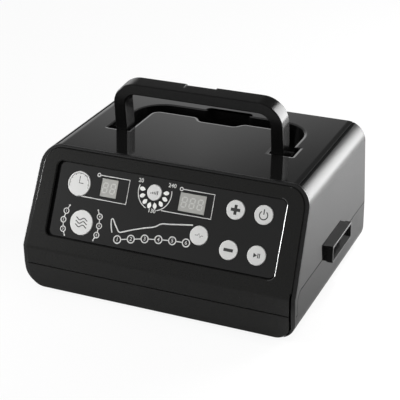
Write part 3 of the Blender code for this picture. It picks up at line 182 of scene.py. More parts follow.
def soften(bm, width, segments, where=None, above=60.0):
    # rounds the edges that turn by more than an angle, where a test on their middle allows
    edges = []
    for edge in bm.edges:
        if len(edge.link_faces) != 2 or edge.calc_face_angle(0) < math.radians(above):
            continue
        if where is None or where(*((edge.verts[0].co + edge.verts[1].co) / 2)):
            edges.append(edge)
    if edges:
        bmesh.ops.bevel(bm, geom=edges, offset=width, offset_type="OFFSET", segments=segments,
                        profile=0.5, affect="EDGES", material=-1, clamp_overlap=False,
                        loop_slide=True)


def frontSet(height):
    if height < body["frontSplit"]:
        return body["skirtSetback"] * (body["frontSplit"] - height) / body["frontSplit"]
    if height < body["crease"]:
        return 0.0
    rise = body["height"] - body["crease"]
    return (height - body["crease"]) * body["slopeSetback"] / rise


def followFront(bm, limit):
    # leans everything in front of the limit back along the profile of the front
    for height in (body["crease"], body["frontSplit"]):
        bmesh.ops.bisect_plane(bm, geom=bm.verts[:] + bm.edges[:] + bm.faces[:],
                               plane_co=(0, 0, height), plane_no=(0, 0, 1))
    for vert in bm.verts:
        if vert.co.y < limit:
            vert.co.y += frontSet(vert.co.z)


def mirrored(half):
    return [(-corner[0], *corner[1:]) for corner in reversed(half)]


def bothSides(half):
    return half + mirrored(half)


# Materials

grainLook = {"detail": 3.0, "reliefDepth": 0.0002}


def feed(tree, node, inputs):
    # an input gets a value or the output of another node
    for name, value in inputs.items():
        if isinstance(value, bpy.types.NodeSocket):
            tree.links.new(value, node.inputs[name])
        else:
            node.inputs[name].default_value = value


def addNode(tree, kind, inputs=None, **settings):
    node = tree.nodes.new("ShaderNode" + kind)
    for name, value in settings.items():
        setattr(node, name, value)
    feed(tree, node, inputs or {})
    return node


def finish(name, color, roughness, spread, scale, bump, metallic=0.0, ior=1.5, tint=0.06):
    # plain plastic or metal with fine grain in its sheen, colour and surface; a grey is one number
    color = (color,) * 3 if isinstance(color, float) else color
    material = bpy.data.materials.new(name)
    material.use_nodes = True
    tree = material.node_tree
    coords = addNode(tree, "TexCoord")
    noise = addNode(tree, "TexNoise", {"Vector": coords.outputs["Object"], "Scale": scale,
                                       "Detail": grainLook["detail"]})
    grain = noise.outputs["Fac"]
    sheen = addNode(tree, "MapRange", {"Value": grain, "To Min": roughness - spread,
                                       "To Max": roughness + spread})
    darker, lighter = ((*[part * share for part in color], 1) for share in (1 - tint, 1 + tint))
    shade = addNode(tree, "Mix", {"Factor": grain, "A": darker, "B": lighter}, data_type="RGBA")
    inputs = {"Metallic": metallic, "IOR": ior, "Roughness": sheen.outputs["Result"],
              "Base Color": shade.outputs["Result"]}
    if bump:
        relief = addNode(tree, "Bump", {"Height": grain, "Strength": bump,
                                        "Distance": grainLook["reliefDepth"]})
        inputs["Normal"] = relief.outputs["Normal"]
    feed(tree, tree.nodes["Principled BSDF"], inputs)
    return material


finishes = {
    "gloss_black": finish("glossBlack", 0.005, 0.07, 0.01, 900.0, 0.004),
    "shellSide": finish("shellSide", 0.006, 0.33, 0.02, 900.0, 0.01),
    "shoulderBlack": finish("shoulderBlack", 0.005, 0.07, 0.01, 900.0, 0.004, ior=1.7),
    "trayBlack": finish("trayBlack", 0.005, 0.33, 0.02, 900.0, 0.01, ior=1.42),
    # painted shade: a near-black, barely shiny finish put in the shoulder grooves, the splits
    # between parts, the recess around the film and on the hinge hubs, where shade falls
    "paintedShadeBlack": finish("paintedShadeBlack", 0.002, 0.60, 0.03, 900.0, 0.0, ior=1.12),
    "satin_black": finish("satinBlack", (0.006, 0.006, 0.0055), 0.28, 0.03, 1800.0, 0.08,
                          ior=1.40),
    "rimBlack": finish("rimBlack", 0.010, 0.08, 0.02, 900.0, 0.0, ior=2.3),
    "lipBlack": finish("lipBlack", 0.006, 0.12, 0.02, 900.0, 0.0, ior=1.9),
    "frameBlack": finish("frameBlack", 0.005, 0.28, 0.03, 1500.0, 0.03),
    "handleBlack": finish("handleBlack", 0.003, 0.20, 0.02, 1500.0, 0.02, ior=1.38),
    "label_film": finish("labelFilm", 0.009, 0.30, 0.03, 1200.0, 0.02, ior=1.42),
    "cap_grey": finish("capGrey", (0.62, 0.62, 0.61), 0.45, 0.04, 1200.0, 0.02, tint=0.02),
    "display_grey": finish("displayGrey", (0.37, 0.37, 0.35), 0.22, 0.03, 900.0, 0.0, tint=0.04),
    "digitPale": finish("digitPale", (0.48, 0.48, 0.46), 0.35, 0.03, 900.0, 0.0, tint=0.03),
    "printPale": finish("printPale", (0.58, 0.58, 0.57), 0.50, 0.04, 1500.0, 0.0, tint=0.03),
    "printWhite": finish("printWhite", (0.78, 0.78, 0.76), 0.45, 0.04, 1500.0, 0.0, tint=0.02),
    "printDark": finish("printDark", 0.022, 0.50, 0.04, 1500.0, 0.0),
    "lamp_white": finish("lampWhite", (0.70, 0.70, 0.68), 0.30, 0.04, 800.0, 0.02),
    "board_green": finish("boardGreen", (0.02, 0.12, 0.05), 0.42, 0.06, 500.0, 0.05, tint=0.2),
    "part_black": finish("partBlack", 0.016, 0.50, 0.05, 1500.0, 0.10),
    "rubber_black": finish("rubberBlack", 0.014, 0.75, 0.08, 1600.0, 0.25),
    "steel": finish("steelPlated", (0.60, 0.60, 0.58), 0.30, 0.08, 700.0, 0.05, metallic=1.0),
    # painted shade: the capacitor seen behind the rear vents is made near black so the view in
    # through the vents stays dark
    "sleeveShadeDark": finish("sleeveShadeDark", (0.012, 0.013, 0.016), 0.45, 0.04, 900.0, 0.02),
    "cast_metal": finish("castMetal", 0.50, 0.45, 0.10, 600.0, 0.25, metallic=1.0),
    "tube_clear": finish("tubeClear", (0.70, 0.72, 0.72), 0.25, 0.04, 500.0, 0.02),
    "white_plastic": finish("whitePlastic", (0.75, 0.75, 0.72), 0.45, 0.05, 900.0, 0.05,
                            tint=0.03),
}


def keepPiece(name, bm, look, bodyName, place=bodyPlace, stands=(), sharp=38.0,
              weigh=True, others=()):
    # gives a finished mesh its place, finish and body; others are more finishes, each with
    # a test on the middle of a face that tells where it goes
    for face in bm.faces:
        middle = face.calc_center_median()
        face.material_index = next((index for index, other in enumerate(others, 1)
                                    if other[1](*middle)), 0)
    bmesh.ops.transform(bm, matrix=place, verts=bm.verts)
    thing = looseObject(bm, name)
    thing.data.materials.append(finishes[look])
    for other in others:
        thing.data.materials.append(finishes[other[0]])
    thing.data.shade_smooth()
    thing.data.set_sharp_from_angle(angle=math.radians(sharp))
    if weigh:
        modifier = thing.modifiers.new("even", "WEIGHTED_NORMAL")
        modifier.keep_sharp = True
    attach(thing, bodyName)
    if stands:
        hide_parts(*stands)
    return thing


print("stage: helpers and materials ready")


# Shells

lean = math.atan2(body["topDraft"], body["height"] - body["topRadius"] - body["sideSplit"])


def bodyCorners(inset):
    # the cross-section of the shells from the front, moved in by the inset
    half = body["halfWidth"] - inset
    high = body["height"] - inset
    topX = half - (high - body["sideSplit"]) * math.tan(lean)
    reach = (body["topRadius"] - inset) / math.tan((quarter + lean) / 2)
    return bothSides([(half, inset, body["bottomRadius"] - inset), (half, body["sideSplit"]),
                      (topX, high, reach)])


def bodyBlock(inset, front, rear):
    return block(bodyCorners(inset), front, rear, "front", 14)


ear = {"width": 3.0, "radius": 8.0}


def splitRegion(upper):
    shift = 0 if upper else body["splitGap"]
    side, low = body["sideSplit"] - shift, body["frontSplit"] - shift
    front, rear = body["front"] + ear["width"] + shift, body["depth"] + over
    far = body["height"] + over if upper else -over
    corners = [(rear, side), (front, side, ear["radius"]), (front, low), (-over, low),
               (-over, far), (rear, far)]
    wide = body["halfWidth"] + over
    return block(corners, -wide, wide, "side", 8)


def shellHalf(upper):
    rear = body["depth"]
    outer = bodyBlock(0, body["front"], rear)
    soften(outer, body["rearEdge"], 5, lambda x, y, z: y > rear - near)
    followFront(outer, body["front"] + near)
    inner = bodyBlock(body["wall"], body["front"] - body["cavityLead"], rear - body["wall"])
    followFront(inner, body["front"])
    return carve(carve(outer, inner), splitRegion(upper), "INTERSECT")


def inSplit(x, y, z):
    # the faces that look at each other between the shells, which get painted shade
    return any(abs(z - level + shift) < close for shift in (0, body["splitGap"])
               for level in (body["sideSplit"], body["frontSplit"]))


well = {
    "half": 81.7, "rear": 164.0, "radius": 28.0, "floor": 98.7,
    "pocketHalf": 20.5, "pocketRear": 168.8, "pocketRadius": 2.6, "pocketInner": 2.7,
    "hingeHalf": 87.4, "hingeRear": 114.4, "hingeFront": 94.04, "hingeRadius": 1.0,
    "islandHalf": 65.7, "islandRear": 145.7, "islandRadius": 8.0,
    "notchHalf": 17.0, "notchDepth": 8.0, "notchSlant": 6.0, "notchRadius": 2.8,
    "rim": 2.4, "rimSlope": 0.13, "rimDrop": 0.12, "rimPower": 12,
    "areaHalf": 90.0, "areaFront": 60.0, "areaRear": 175.0, "outside": 88.0,
}


def wellCorners(grow):
    w = well
    pocketHalf, rear, hingeRear = w["pocketHalf"] + grow, w["rear"] + grow, w["hingeRear"] + grow
    half, hingeHalf, islandHalf = w["half"] + grow, w["hingeHalf"] + grow, w["islandHalf"] - grow
    hingeFront, islandRear = w["hingeFront"] - grow, w["islandRear"] - grow
    notchHalf = w["notchHalf"] + grow
    return bothSides([
        (pocketHalf, w["pocketRear"] + grow, w["pocketRadius"]),
        (pocketHalf, rear, w["pocketInner"]), (half, rear, w["radius"] + grow),
        (half, hingeRear), (hingeHalf, hingeRear, w["hingeRadius"]),
        (hingeHalf, hingeFront, w["hingeRadius"]), (islandHalf, hingeFront),
        (islandHalf, islandRear, w["islandRadius"]),
        (notchHalf + w["notchSlant"], islandRear, w["notchRadius"]),
        (notchHalf, islandRear - w["notchDepth"], w["notchRadius"])])


def cutWell(shell):
    wall, top = body["wall"], body["height"]
    tub = block(wellCorners(wall), well["floor"] - wall, top - wall / 2, "top", 8)
    hollow = block(wellCorners(0), well["floor"], top + over, "top", 10)
    return carve(carve(shell, tub, "UNION"), hollow)


def aroundWell(x, y):
    # the part of the top that holds the well and its rim
    return abs(x) < well["areaHalf"] and well["areaFront"] < y < well["areaRear"]


def shapeRim(shell):
    # rounds the rim of the well, then flattens it to a slight slope with a steep inner end
    top, rim = body["height"], well["rim"]
    soften(shell, rim, 4, lambda x, y, z: z > top - near and aroundWell(x, y), 50.0)
    for vert in shell.verts:
        x, y, z = vert.co
        if top - rim - near < z < top - near and aroundWell(x, y):
            inward = math.sqrt(max(0.0, 1 - (1 - (top - z) / rim) ** 2))
            fall = inward * well["rimSlope"] + well["rimDrop"] * inward ** well["rimPower"]
            vert.co.z = top - rim * fall


groove = {"offset": 5.1, "depth": 0.9, "half": 1.2, "proud": 0.45, "spread": 0.12, "clear": 0.03}
shoulder = {"half": 100.0, "below": 0.3, "front": 5.0, "rear": 2.0}


def shoulderArc():
    # middle of the shoulder's rounding and the direction from there to the groove
    centreX = body["halfWidth"] - (body["height"] - body["sideSplit"]) * math.tan(lean)
    centreX -= body["topRadius"] / math.tan((quarter + lean) / 2)
    angle = math.acos(groove["offset"] / body["topRadius"])
    return (Vector((centreX, body["height"] - body["topRadius"])),
            Vector((math.cos(angle), math.sin(angle))))


def sideGroove(side):
    # the cutter of the fine V along each shoulder
    centre, out = shoulderArc()
    along = Vector((-out.y, out.x)) * groove["half"]
    point = centre + out * body["topRadius"]
    mouth = point + out * groove["proud"]
    corners = [mouth + along, point - out * groove["depth"], mouth - along]
    flat = [(side * corner.x, corner.y) for corner in corners]
    return block(flat, -over, body["depth"] + over, "front")


vents = {"x": 50.0, "width": 42.0, "height": 2.5, "pitch": 6.0, "low": 58.0, "rows": 4,
         "round": 1.23, "edge": 0.3}


def ventSlots():
    slots = bmesh.new()
    through = (body["depth"] - body["wall"] - over, body["depth"] + over)
    for side in (-1, 1):
        left = side * vents["x"] - vents["width"] / 2
        for row in range(vents["rows"]):
            low = vents["low"] + row * vents["pitch"]
            addTo(slots, roundedBox(left, left + vents["width"], low, low + vents["height"],
                                    vents["round"], through, "front", 5))
    return slots


def byVents(x, y, z):
    high = vents["low"] + vents["rows"] * vents["pitch"]
    return (y > body["depth"] - near and vents["low"] - 1 < z < high
            and abs(x) < vents["x"] + vents["width"])


port = {"front": 66.2, "rear": 117.6, "low": 42.0, "high": 57.2, "step": 0.6, "deep": 6.6}


def portCut():
    inset = port["step"] - body["gap"]
    return boxOf((body["halfWidth"] - port["deep"], body["halfWidth"] + over),
                 (port["front"] + inset, port["rear"] - inset),
                 (port["low"] + inset, port["high"] - inset))


def makeUpperHousing():
    shell = cutWell(shellHalf(True))
    for side in (-1, 1):
        shell = carve(shell, sideGroove(side))
    shell = carve(carve(shell, ventSlots()), portCut())
    tidyMesh(shell)
    shapeRim(shell)
    soften(shell, vents["edge"], 2, byVents, 50.0)
    top, rear = body["height"], body["depth"]
    centre, out = shoulderArc()
    grooveHigh = (centre + out * body["topRadius"]).y

    def onRim(x, y, z):
        return top - well["rim"] < z < top - near and aroundWell(x, y)

    # the faces of the groove along each shoulder, which get painted shade
    def inGroove(x, y, z):
        spoke = Vector((abs(x), z)) - centre
        return (spoke.angle(out) < groove["spread"]
                and spoke.length < body["topRadius"] - groove["clear"])

    def onSide(x, y, z):
        return (z < grooveHigh and abs(x) > well["outside"] or y > rear - body["rearEdge"]
                or z < well["floor"] - body["wall"] / 2)

    def onShoulder(x, y, z):
        return (abs(x) > shoulder["half"] and z < top - shoulder["below"]
                and shoulder["front"] < y < rear - shoulder["rear"])

    keepPiece("upperHousing", shell, "gloss_black", "body", stands=["upper_housing"],
              others=(("rimBlack", onRim), ("paintedShadeBlack", inGroove), ("paintedShadeBlack", inSplit),
                      ("shellSide", onSide), ("shoulderBlack", onShoulder)))


feet = {"x": 92.0, "front": 28.0, "rear": 150.0, "radius": 8.0, "recess": 1.2}
posts = {"x": 103.0, "front": 58.0, "rear": 170.0, "radius": 5.0, "low": 1.0, "bore": 3.4,
         "seat": 35.2}
inlet = {"x": -84.0, "low": 12.0, "width": 24.0, "height": 15.0, "round": 6.75, "deep": 4.0}


def fourPlaces(spec):
    return [(side * spec["x"], y) for side in (-1, 1) for y in (spec["front"], spec["rear"])]


def makeLowerHousing():
    shell = shellHalf(False)
    gap, rear = body["gap"], body["depth"]
    for x, y in fourPlaces(posts):
        post = rod((x, y, posts["low"]), (x, y, body["sideSplit"] - gap), posts["radius"])
        shell = carve(shell, post, "UNION")
    for x, y in fourPlaces(posts):
        shell = carve(shell, rod((x, y, -over), (x, y, posts["seat"]), posts["bore"]))
    for x, y in fourPlaces(feet):
        recess = rod((x, y, -over), (x, y, feet["recess"]), feet["radius"] + gap, 48)
        shell = carve(shell, recess)
    half, low = inlet["width"] / 2 + gap, inlet["low"]
    high = low + inlet["height"]
    hole = roundedBox(inlet["x"] - half, inlet["x"] + half, low - gap, high + gap,
                      inlet["round"], (rear - inlet["deep"], rear + over), "front")
    shell = carve(carve(shell, hole), portCut())
    tidyMesh(shell)
    soften(shell, body["lowEdge"], 2, lambda x, y, z: abs(z) < near
           or (y > rear - near and low - 1 < z < high + 1), 50.0)
    keepPiece("lowerHousing", shell, "trayBlack", "body",
              stands=["lower_housing"], others=(("paintedShadeBlack", inSplit),))


makeUpperHousing()
makeLowerHousing()
print("stage: shells done")


# Front plates

plates = {
    "side": 121.2, "grooveSide": 120.0, "grooveTop": 43.5, "high": 117.7, "radius": 15.0,
    "thickness": 2.8, "edge": 0.7, "low": 23.8, "creaseRound": 1.8,
    "skirtRadius": 13.0, "skirtThickness": 2.6,
    "frameSide": 121.5, "frameHigh": 118.0, "frameRadius": 15.3, "frameSkin": 0.2,
    "frameFront": 0.9, "frameRear": 3.2, "frameEdge": 0.5, "frameEnd": 0.9,
}
panel = {"half": 104.0, "low": 13.0, "high": 78.0, "radius": 5.0, "recess": 1.9,
         "filmLow": -1.6, "filmTop": -0.9, "lip": 1.35, "litLip": 8.0,
         "slotLeft": 1.4, "filmLeft": 2.0, "filmGap": 0.3, "filmBottom": 0.9,
         "slotTop": 3.0, "holes": (-6.0, 2.0), "holeWall": 0.5}


def plateCorners(side, high, radius):
    start = plates["grooveTop"]
    topX = side - (high - start) * math.tan(lean)
    return [(side, start), (topX, high, radius / math.tan((quarter + lean) / 2))]


caps = {
    "time_button": (-81.95, 61.3, 10.7), "mode_button": (-73.42, 28.93, 10.7),
    "gauge_button": (-11.54, 65.13, 6.7), "leg_button": (34.42, 36.92, 8.0),
    "plus_button": (61.88, 62.98, 8.0), "minus_button": (61.88, 29.77, 8.0),
    "power_button": (86.32, 62.98, 8.0), "start_button": (86.32, 29.77, 8.0),
}
capFit = {"clearance": 0.4, "top": -0.4, "edge": 0.45, "flange": 1.0, "flangeTop": -3.1,
          "flangeLow": -3.9, "stem": 2.0, "stemEnd": -5.5}
windows = {"time_display": (-61.3, 2), "pressure_display": (11.6, 3)}
windowFit = {"low": 54.0, "height": 15.3, "pitch": 8.3, "trim": 1.5, "top": -1.2,
             "bottom": -10.0, "radius": 0.4, "edge": 0.15, "holeGrow": 0.4, "glassGrow": 0.1,
             "digitPitch": 7.2}


def windowWidth(digits):
    return windowFit["pitch"] * digits - windowFit["trim"]


def windowBlock(left, digits, grow, low, high):
    return roundedBox(left - grow, left + windowWidth(digits) + grow, windowFit["low"] - grow,
                      windowFit["low"] + windowFit["height"] + grow, windowFit["radius"],
                      (low, high), segments=3)


def panelHoles():
    holes = bmesh.new()
    low, high = panel["holes"]
    for x, t, radius in caps.values():
        addTo(holes, rod((x, t, low), (x, t, high), radius + capFit["clearance"], 64))
    for left, digits in windows.values():
        addTo(holes, windowBlock(left, digits, windowFit["holeGrow"], low, high))
    return holes


def inPanel(bm):
    # moves a shape from the panel's frame to the body's, still in millimetres
    bmesh.ops.transform(bm, matrix=bodyPlace.inverted() @ panelPlace, verts=bm.verts)
    return bm


def levelOf(x, y, z):
    # how far a point of the body's frame stands out of the fascia
    return (z - body["crease"]) * math.cos(slopeAngle) - y * math.sin(slopeAngle)


def makeFrontBezel():
    side, low, grooveTop = plates["side"], plates["low"], plates["grooveTop"]
    slope = bothSides(plateCorners(side, plates["high"], plates["radius"]))
    # the point that comes twice lets the rounding of the left edge fade out near the crease
    corners = [(plates["grooveSide"], low), (plates["grooveSide"], grooveTop), *slope,
               (-side, grooveTop), (-side, low)]
    plate = block(corners, 0, plates["thickness"] / math.sin(slopeAngle), "front", 12)
    soften(plate, plates["edge"], 3, lambda x, y, z: y < near)
    followFront(plate, body["depth"])
    half, recess, lip = panel["half"], panel["recess"], panel["lip"]
    slotHalf = half + panel["slotLeft"]
    slot = roundedBox(-slotHalf, half, panel["low"], panel["high"], panel["radius"],
                      (-recess, panel["slotTop"]), "top", 10)
    plate = carve(plate, inPanel(slot))
    tidyMesh(plate)
    soften(plate, plates["creaseRound"], 5,
           lambda x, y, z: abs(z - body["crease"]) < close and y < close, 20.0)

    def onRim(x, y, z):
        return (abs(levelOf(x, y, z)) < close and abs(x) < slotHalf + close
                and z > body["crease"] + panel["low"] / 2)

    soften(plate, lip, 4, onRim)
    plate = carve(plate, inPanel(panelHoles()))

    # the floor and walls of the recess around the film, which get painted shade
    def inRecess(x, y, z):
        return (-recess - panel["holeWall"] < levelOf(x, y, z) < -lip - close
                and abs(x) < slotHalf + close)

    def onLip(x, y, z):
        return (-lip - close < levelOf(x, y, z) < -near
                and half - panel["litLip"] < x < half + lip + close)

    keepPiece("frontBezel", plate, "satin_black", "body", stands=["front_bezel"],
              others=(("paintedShadeBlack", inRecess), ("lipBlack", onLip)))


def makeFrontSkirt():
    high, radius = body["frontSplit"] - body["gap"], plates["skirtRadius"]
    corners = [(plates["grooveSide"], 0, radius), (plates["grooveSide"], high),
               (-plates["side"], high), (-plates["side"], 0, radius)]
    skirt = block(corners, 0, plates["skirtThickness"], "front", 12)
    soften(skirt, plates["edge"], 3, lambda x, y, z: y < near)
    followFront(skirt, body["depth"])
    keepPiece("frontSkirt", skirt, "satin_black", "body", stands=["front_skirt"])


def makeFrontFrame():
    surround = bodyBlock(0, plates["frameFront"], plates["frameRear"])
    soften(surround, plates["frameEdge"], 4, lambda x, y, z: y < plates["frameFront"] + near)
    through, wide = (-over, plates["frameRear"] + over), body["halfWidth"] + over
    inner = [(plates["frameSide"], 0.0, plates["skirtRadius"])]
    inner += plateCorners(plates["frameSide"], plates["frameHigh"], plates["frameRadius"])
    surround = carve(surround, block(bothSides(inner), *through, "front", 14))
    surround = carve(surround, boxOf((-wide, wide), through, (-over, plates["frameEnd"])))
    tidyMesh(surround)
    followFront(surround, body["depth"])

    def onOuter(x, y, z):
        sideX = body["halfWidth"] - max(0, z - body["sideSplit"]) * math.tan(lean)
        return abs(x) > sideX - plates["frameSkin"] and z > body["bottomRadius"]

    keepPiece("frontFrame", surround, "frameBlack", "body",
              stands=["front_frame"], others=(("shellSide", onOuter),))


makeFrontBezel()
makeFrontSkirt()
makeFrontFrame()
print("stage: front plates done")


# Control panel

def makeFilm():
    half, gap = panel["half"], panel["filmGap"]
    film = roundedBox(-half + panel["filmLeft"], half - gap, panel["low"] + panel["filmBottom"],
                      panel["high"] - gap, panel["radius"] - gap,
                      (panel["filmLow"], panel["filmTop"]), "top", 10)
    film = carve(film, panelHoles())
    keepPiece("panelFilm", film, "label_film", "body", panelPlace, stands=["control_overlay"])


def makeCaps():
    fit = capFit
    stem, end, low, high, top = (fit[part] for part in ("stem", "stemEnd", "flangeLow",
                                                        "flangeTop", "top"))
    for name, (x, t, radius) in caps.items():
        flange = radius + fit["flange"]
        profile = [(0, end), (stem, end), (stem, low), (flange, low), (flange, high),
                   (radius, high), (radius, top), (0, top)]
        cap = spun(profile, 64, Matrix.Translation((x, t, 0)))
        soften(cap, fit["edge"], 3, lambda x, y, z: z > top - near)
        keepPiece(name + "_top", cap, "cap_grey", name + "_cap", panelPlace, stands=[name])


inkHeight, inkShift = 0.03, 0.01    # thickness of what is printed, and its shift from its place
segmentShapes = {"half": (2.05, 4.1), "thick": 1.15, "slant": math.radians(6), "gap": 0.22}


def digitSegments(x, t, level):
    # seven flat bars with pointed ends
    bars = bmesh.new()
    halfWide, halfTall = segmentShapes["half"]
    thick, gap = segmentShapes["thick"], segmentShapes["gap"]
    layout = [((0, 0), halfWide, 0), ((0, halfTall), halfWide, 0), ((0, -halfTall), halfWide, 0)]
    layout += [((side * halfWide, part * halfTall / 2), halfTall / 2, 1)
               for side in (-1, 1) for part in (-1, 1)]
    for (middleX, middleY), reach, upright in layout:
        long, wide = reach - gap, thick / 2
        corners = [(-long, 0), (wide - long, -wide), (long - wide, -wide), (long, 0),
                   (long - wide, wide), (wide - long, wide)]
        bar = block(corners, 0, inkHeight)
        turn = Matrix.Rotation(quarter * upright, 4, "Z")
        bmesh.ops.transform(bar, matrix=Matrix.Translation((middleX, middleY, 0)) @ turn,
                            verts=bar.verts)
        addTo(bars, bar)
    shear = Matrix.Identity(4)
    shear[0][1] = math.tan(segmentShapes["slant"])
    bmesh.ops.transform(bars, matrix=Matrix.Translation((x, t, level)) @ shear, verts=bars.verts)
    return bars


def makeDisplays():
    for name, (left, digits) in windows.items():
        glass = windowBlock(left, digits, windowFit["glassGrow"], windowFit["bottom"],
                            windowFit["top"])
        soften(glass, windowFit["edge"], 2, lambda x, y, z: z > windowFit["top"] - near)
        keepPiece(name + "_window", glass, "display_grey", "body", panelPlace, stands=[name])
        marks = bmesh.new()
        middle = windowFit["low"] + windowFit["height"] / 2
        for digit in range(digits):
            x = left + windowWidth(digits) / 2
            x += (digit - (digits - 1) / 2) * windowFit["digitPitch"]
            addTo(marks, digitSegments(x, middle, windowFit["top"] - inkShift))
        keepPiece(name + "_digits", marks, "digitPale", "body", panelPlace,
                  weigh=False)


printLevel = panel["filmTop"]


def curveMesh(curve, place):
    # the mesh of a curve or of figures, put in its place
    thing = linked("curve", curve)
    bm = evaluated(thing)
    bpy.data.objects.remove(thing)
    bpy.data.curves.remove(curve)
    bmesh.ops.remove_doubles(bm, verts=bm.verts, dist=0.001)
    bmesh.ops.transform(bm, matrix=place, verts=bm.verts)
    return bm


def strokes(paths, width, level=0.0):
    # flat printed lines: (points, closed)
    curve = bpy.data.curves.new("strokes", "CURVE")
    curve.dimensions = "3D"
    curve.bevel_depth = width / 2
    curve.bevel_resolution = 2
    curve.use_fill_caps = True
    for points, closed in paths:
        spline = curve.splines.new("POLY")
        spline.points.add(len(points) - 1)
        spline.use_cyclic_u = closed
        for target, (x, y) in zip(spline.points, points):
            target.co = (x, y, 0, 1)
    flat = Matrix.Diagonal((1, 1, 2 * inkHeight / width, 1))
    bm = curveMesh(curve, Matrix.Translation((0, 0, level)) @ flat)
    bmesh.ops.recalc_face_normals(bm, faces=bm.faces)
    return bm


def arcPoints(x, y, radius, start, end, steps=24):
    return [(x + radius * math.cos(math.radians(start + (end - start) * i / steps)),
             y + radius * math.sin(math.radians(start + (end - start) * i / steps)))
            for i in range(steps + 1)]


def ring(x, y, radius, steps=32):
    return (arcPoints(x, y, radius, 0, 360 - 360 / steps, steps - 1), True)


def figures(text, size, x, y, bold):
    # plain figures as a thin mesh
    curve = bpy.data.curves.new("figures", "FONT")
    curve.body, curve.size, curve.extrude = text, size, inkHeight / 2
    curve.align_x = curve.align_y = "CENTER"
    curve.offset = bold
    curve.resolution_u = 3
    return curveMesh(curve, Matrix.Translation((x, y, printLevel + inkShift)))


graphics = {
    "line": 0.8, "legLine": 1.05, "ringLine": 0.95, "bold": 0.03,
    "timeBracket": [(-63.3, 71.5), (-35.6, 71.6), (-35.7, 50.9), (-78.3, 51.0)],
    "timeRing": (-64.8, 71.5, 1.35),
    "pressureBracket": [(13.5, 72.05), (41.8, 72.1), (42.0, 51.7), (-2.9, 51.3)],
    "pressureRing": (12.0, 72.0, 1.35),
    "gaugeArcs": [(-11.2, 65.2, 15.2, 163, 247), (-11.2, 65.2, 15.2, 286, 373)],
    "petals": [(-22.7, 66.5), (-21.8, 61.0), (-18.7, 56.5), (-14.2, 54.0), (-9.3, 54.3),
               (-4.3, 56.7), (-1.5, 61.1), (-1.0, 66.2)],
    "leg": [(-43.6, 25.6), (-44.8, 29.0), (-45.8, 33.0), (-46.2, 36.2), (-45.2, 37.2),
            (-44.2, 36.6), (-41.7, 32.5), (-37.8, 27.4), (-36.2, 26.9), (-31.7, 28.6),
            (-25.2, 31.1), (-18.2, 33.4), (-14.2, 34.7), (-8.2, 36.2), (-4.7, 37.6),
            (-1.7, 39.8), (1.1, 40.9), (4.8, 41.2), (13.8, 42.4), (27.6, 44.4)],
    "channels": [(-37.6, 20.6), (-25.3, 23.2), (-12.9, 25.6), (-0.5, 27.2), (11.9, 28.5),
                 (24.3, 28.9)],
    "channelRadius": 3.2, "channelGap": 0.3, "channelText": 4.6,
    "scale": [("20", -25.4, 73.2), ("240", 3.4, 73.2), ("130", -11.2, 49.6)],
    "scaleText": 4.8, "scaleBold": 0.06,
    "modeLeft": [(-87.0, 41.7), (-89.5, 36.5), (-90.9, 28.7), (-89.8, 20.7), (-87.3, 15.6)],
    "modeRight": [(-59.8, 41.8), (-57.4, 36.7), (-56.5, 28.9), (-57.4, 20.9), (-59.8, 16.0)],
    "modeRadius": 2.35, "modeGaps": (0.2, 0.3), "modeText": 3.0,
    "endReach": 0.4, "endDot": 0.35,
    "petalHalf": 1.75, "petalLength": 2.65, "petalTaper": 0.7,
}


def between(first, second, firstRadius, secondRadius):
    # the straight piece of a line that is left between two rings
    start, end = Vector(first), Vector(second)
    along = (end - start).normalized()
    return ([tuple(start + along * firstRadius), tuple(end - along * secondRadius)], False)


def petal(x, y, centreX, centreY):
    # a leaf that points at the middle of the gauge
    outward = Vector((x - centreX, y - centreY)).normalized()
    leaf = spun([(0, -inkHeight), (1.0, 0), (0, inkHeight)], 24)
    for vert in leaf.verts:
        taper = graphics["petalTaper"] * min(vert.co.y, 0.0) ** 2
        vert.co.x *= graphics["petalHalf"] * (1.0 - taper)
        vert.co.y *= graphics["petalLength"]
    angle = math.atan2(outward.y, outward.x) - quarter
    place = Matrix.Translation((x, y, printLevel)) @ Matrix.Rotation(angle, 4, "Z")
    bmesh.ops.transform(leaf, matrix=place, verts=leaf.verts)
    return leaf


def modeRow(row):
    # a bent line through three rings, with a dot at each end
    radius, reach = graphics["modeRadius"], graphics["endReach"]
    before, after = graphics["modeGaps"]
    radii = [reach, radius, radius, radius, reach]
    paths = [ring(*middle, radius, 24) for middle in row[1:-1]]
    for index in range(len(row) - 1):
        paths.append(between(row[index], row[index + 1], radii[index] + before,
                             radii[index + 1] + after))
    return paths + [ring(*row[end], graphics["endDot"], 12) for end in (0, -1)]


def makePanelPrint():
    g = graphics
    paths = [(g["timeBracket"], False), (g["pressureBracket"], False),
             ring(*g["timeRing"], 20), ring(*g["pressureRing"], 20),
             *[(arcPoints(*arc), False) for arc in g["gaugeArcs"]]]
    reach = g["channelRadius"] + g["channelGap"]
    paths += [between(*pair, reach, reach) for pair in zip(g["channels"], g["channels"][1:])]
    paths += modeRow(g["modeLeft"]) + modeRow(g["modeRight"])
    lines = strokes(paths, g["line"], printLevel)
    addTo(lines, strokes([(g["leg"], False)], g["legLine"], printLevel),
          strokes([ring(*middle, g["channelRadius"]) for middle in g["channels"]], g["ringLine"],
                  printLevel))
    for number, (x, t) in enumerate(g["channels"], 1):
        addTo(lines, figures(str(number), g["channelText"], x, t, g["bold"]))
    for number, (x, t) in enumerate(g["modeLeft"][1:-1] + g["modeRight"][1:-1], 1):
        addTo(lines, figures(str(number), g["modeText"], x, t, g["bold"]))
    for text, x, t in g["scale"]:
        addTo(lines, figures(text, g["scaleText"], x, t, g["scaleBold"]))
    keepPiece("panelPrint", lines, "printPale", "body", panelPlace, weigh=False)
    leaves = bmesh.new()
    centreX, centreY, _ = caps["gauge_button"]
    for x, t in g["petals"]:
        addTo(leaves, petal(x, t, centreX, centreY))
    keepPiece("gaugePetals", leaves, "printWhite", "body", panelPlace, weigh=False)


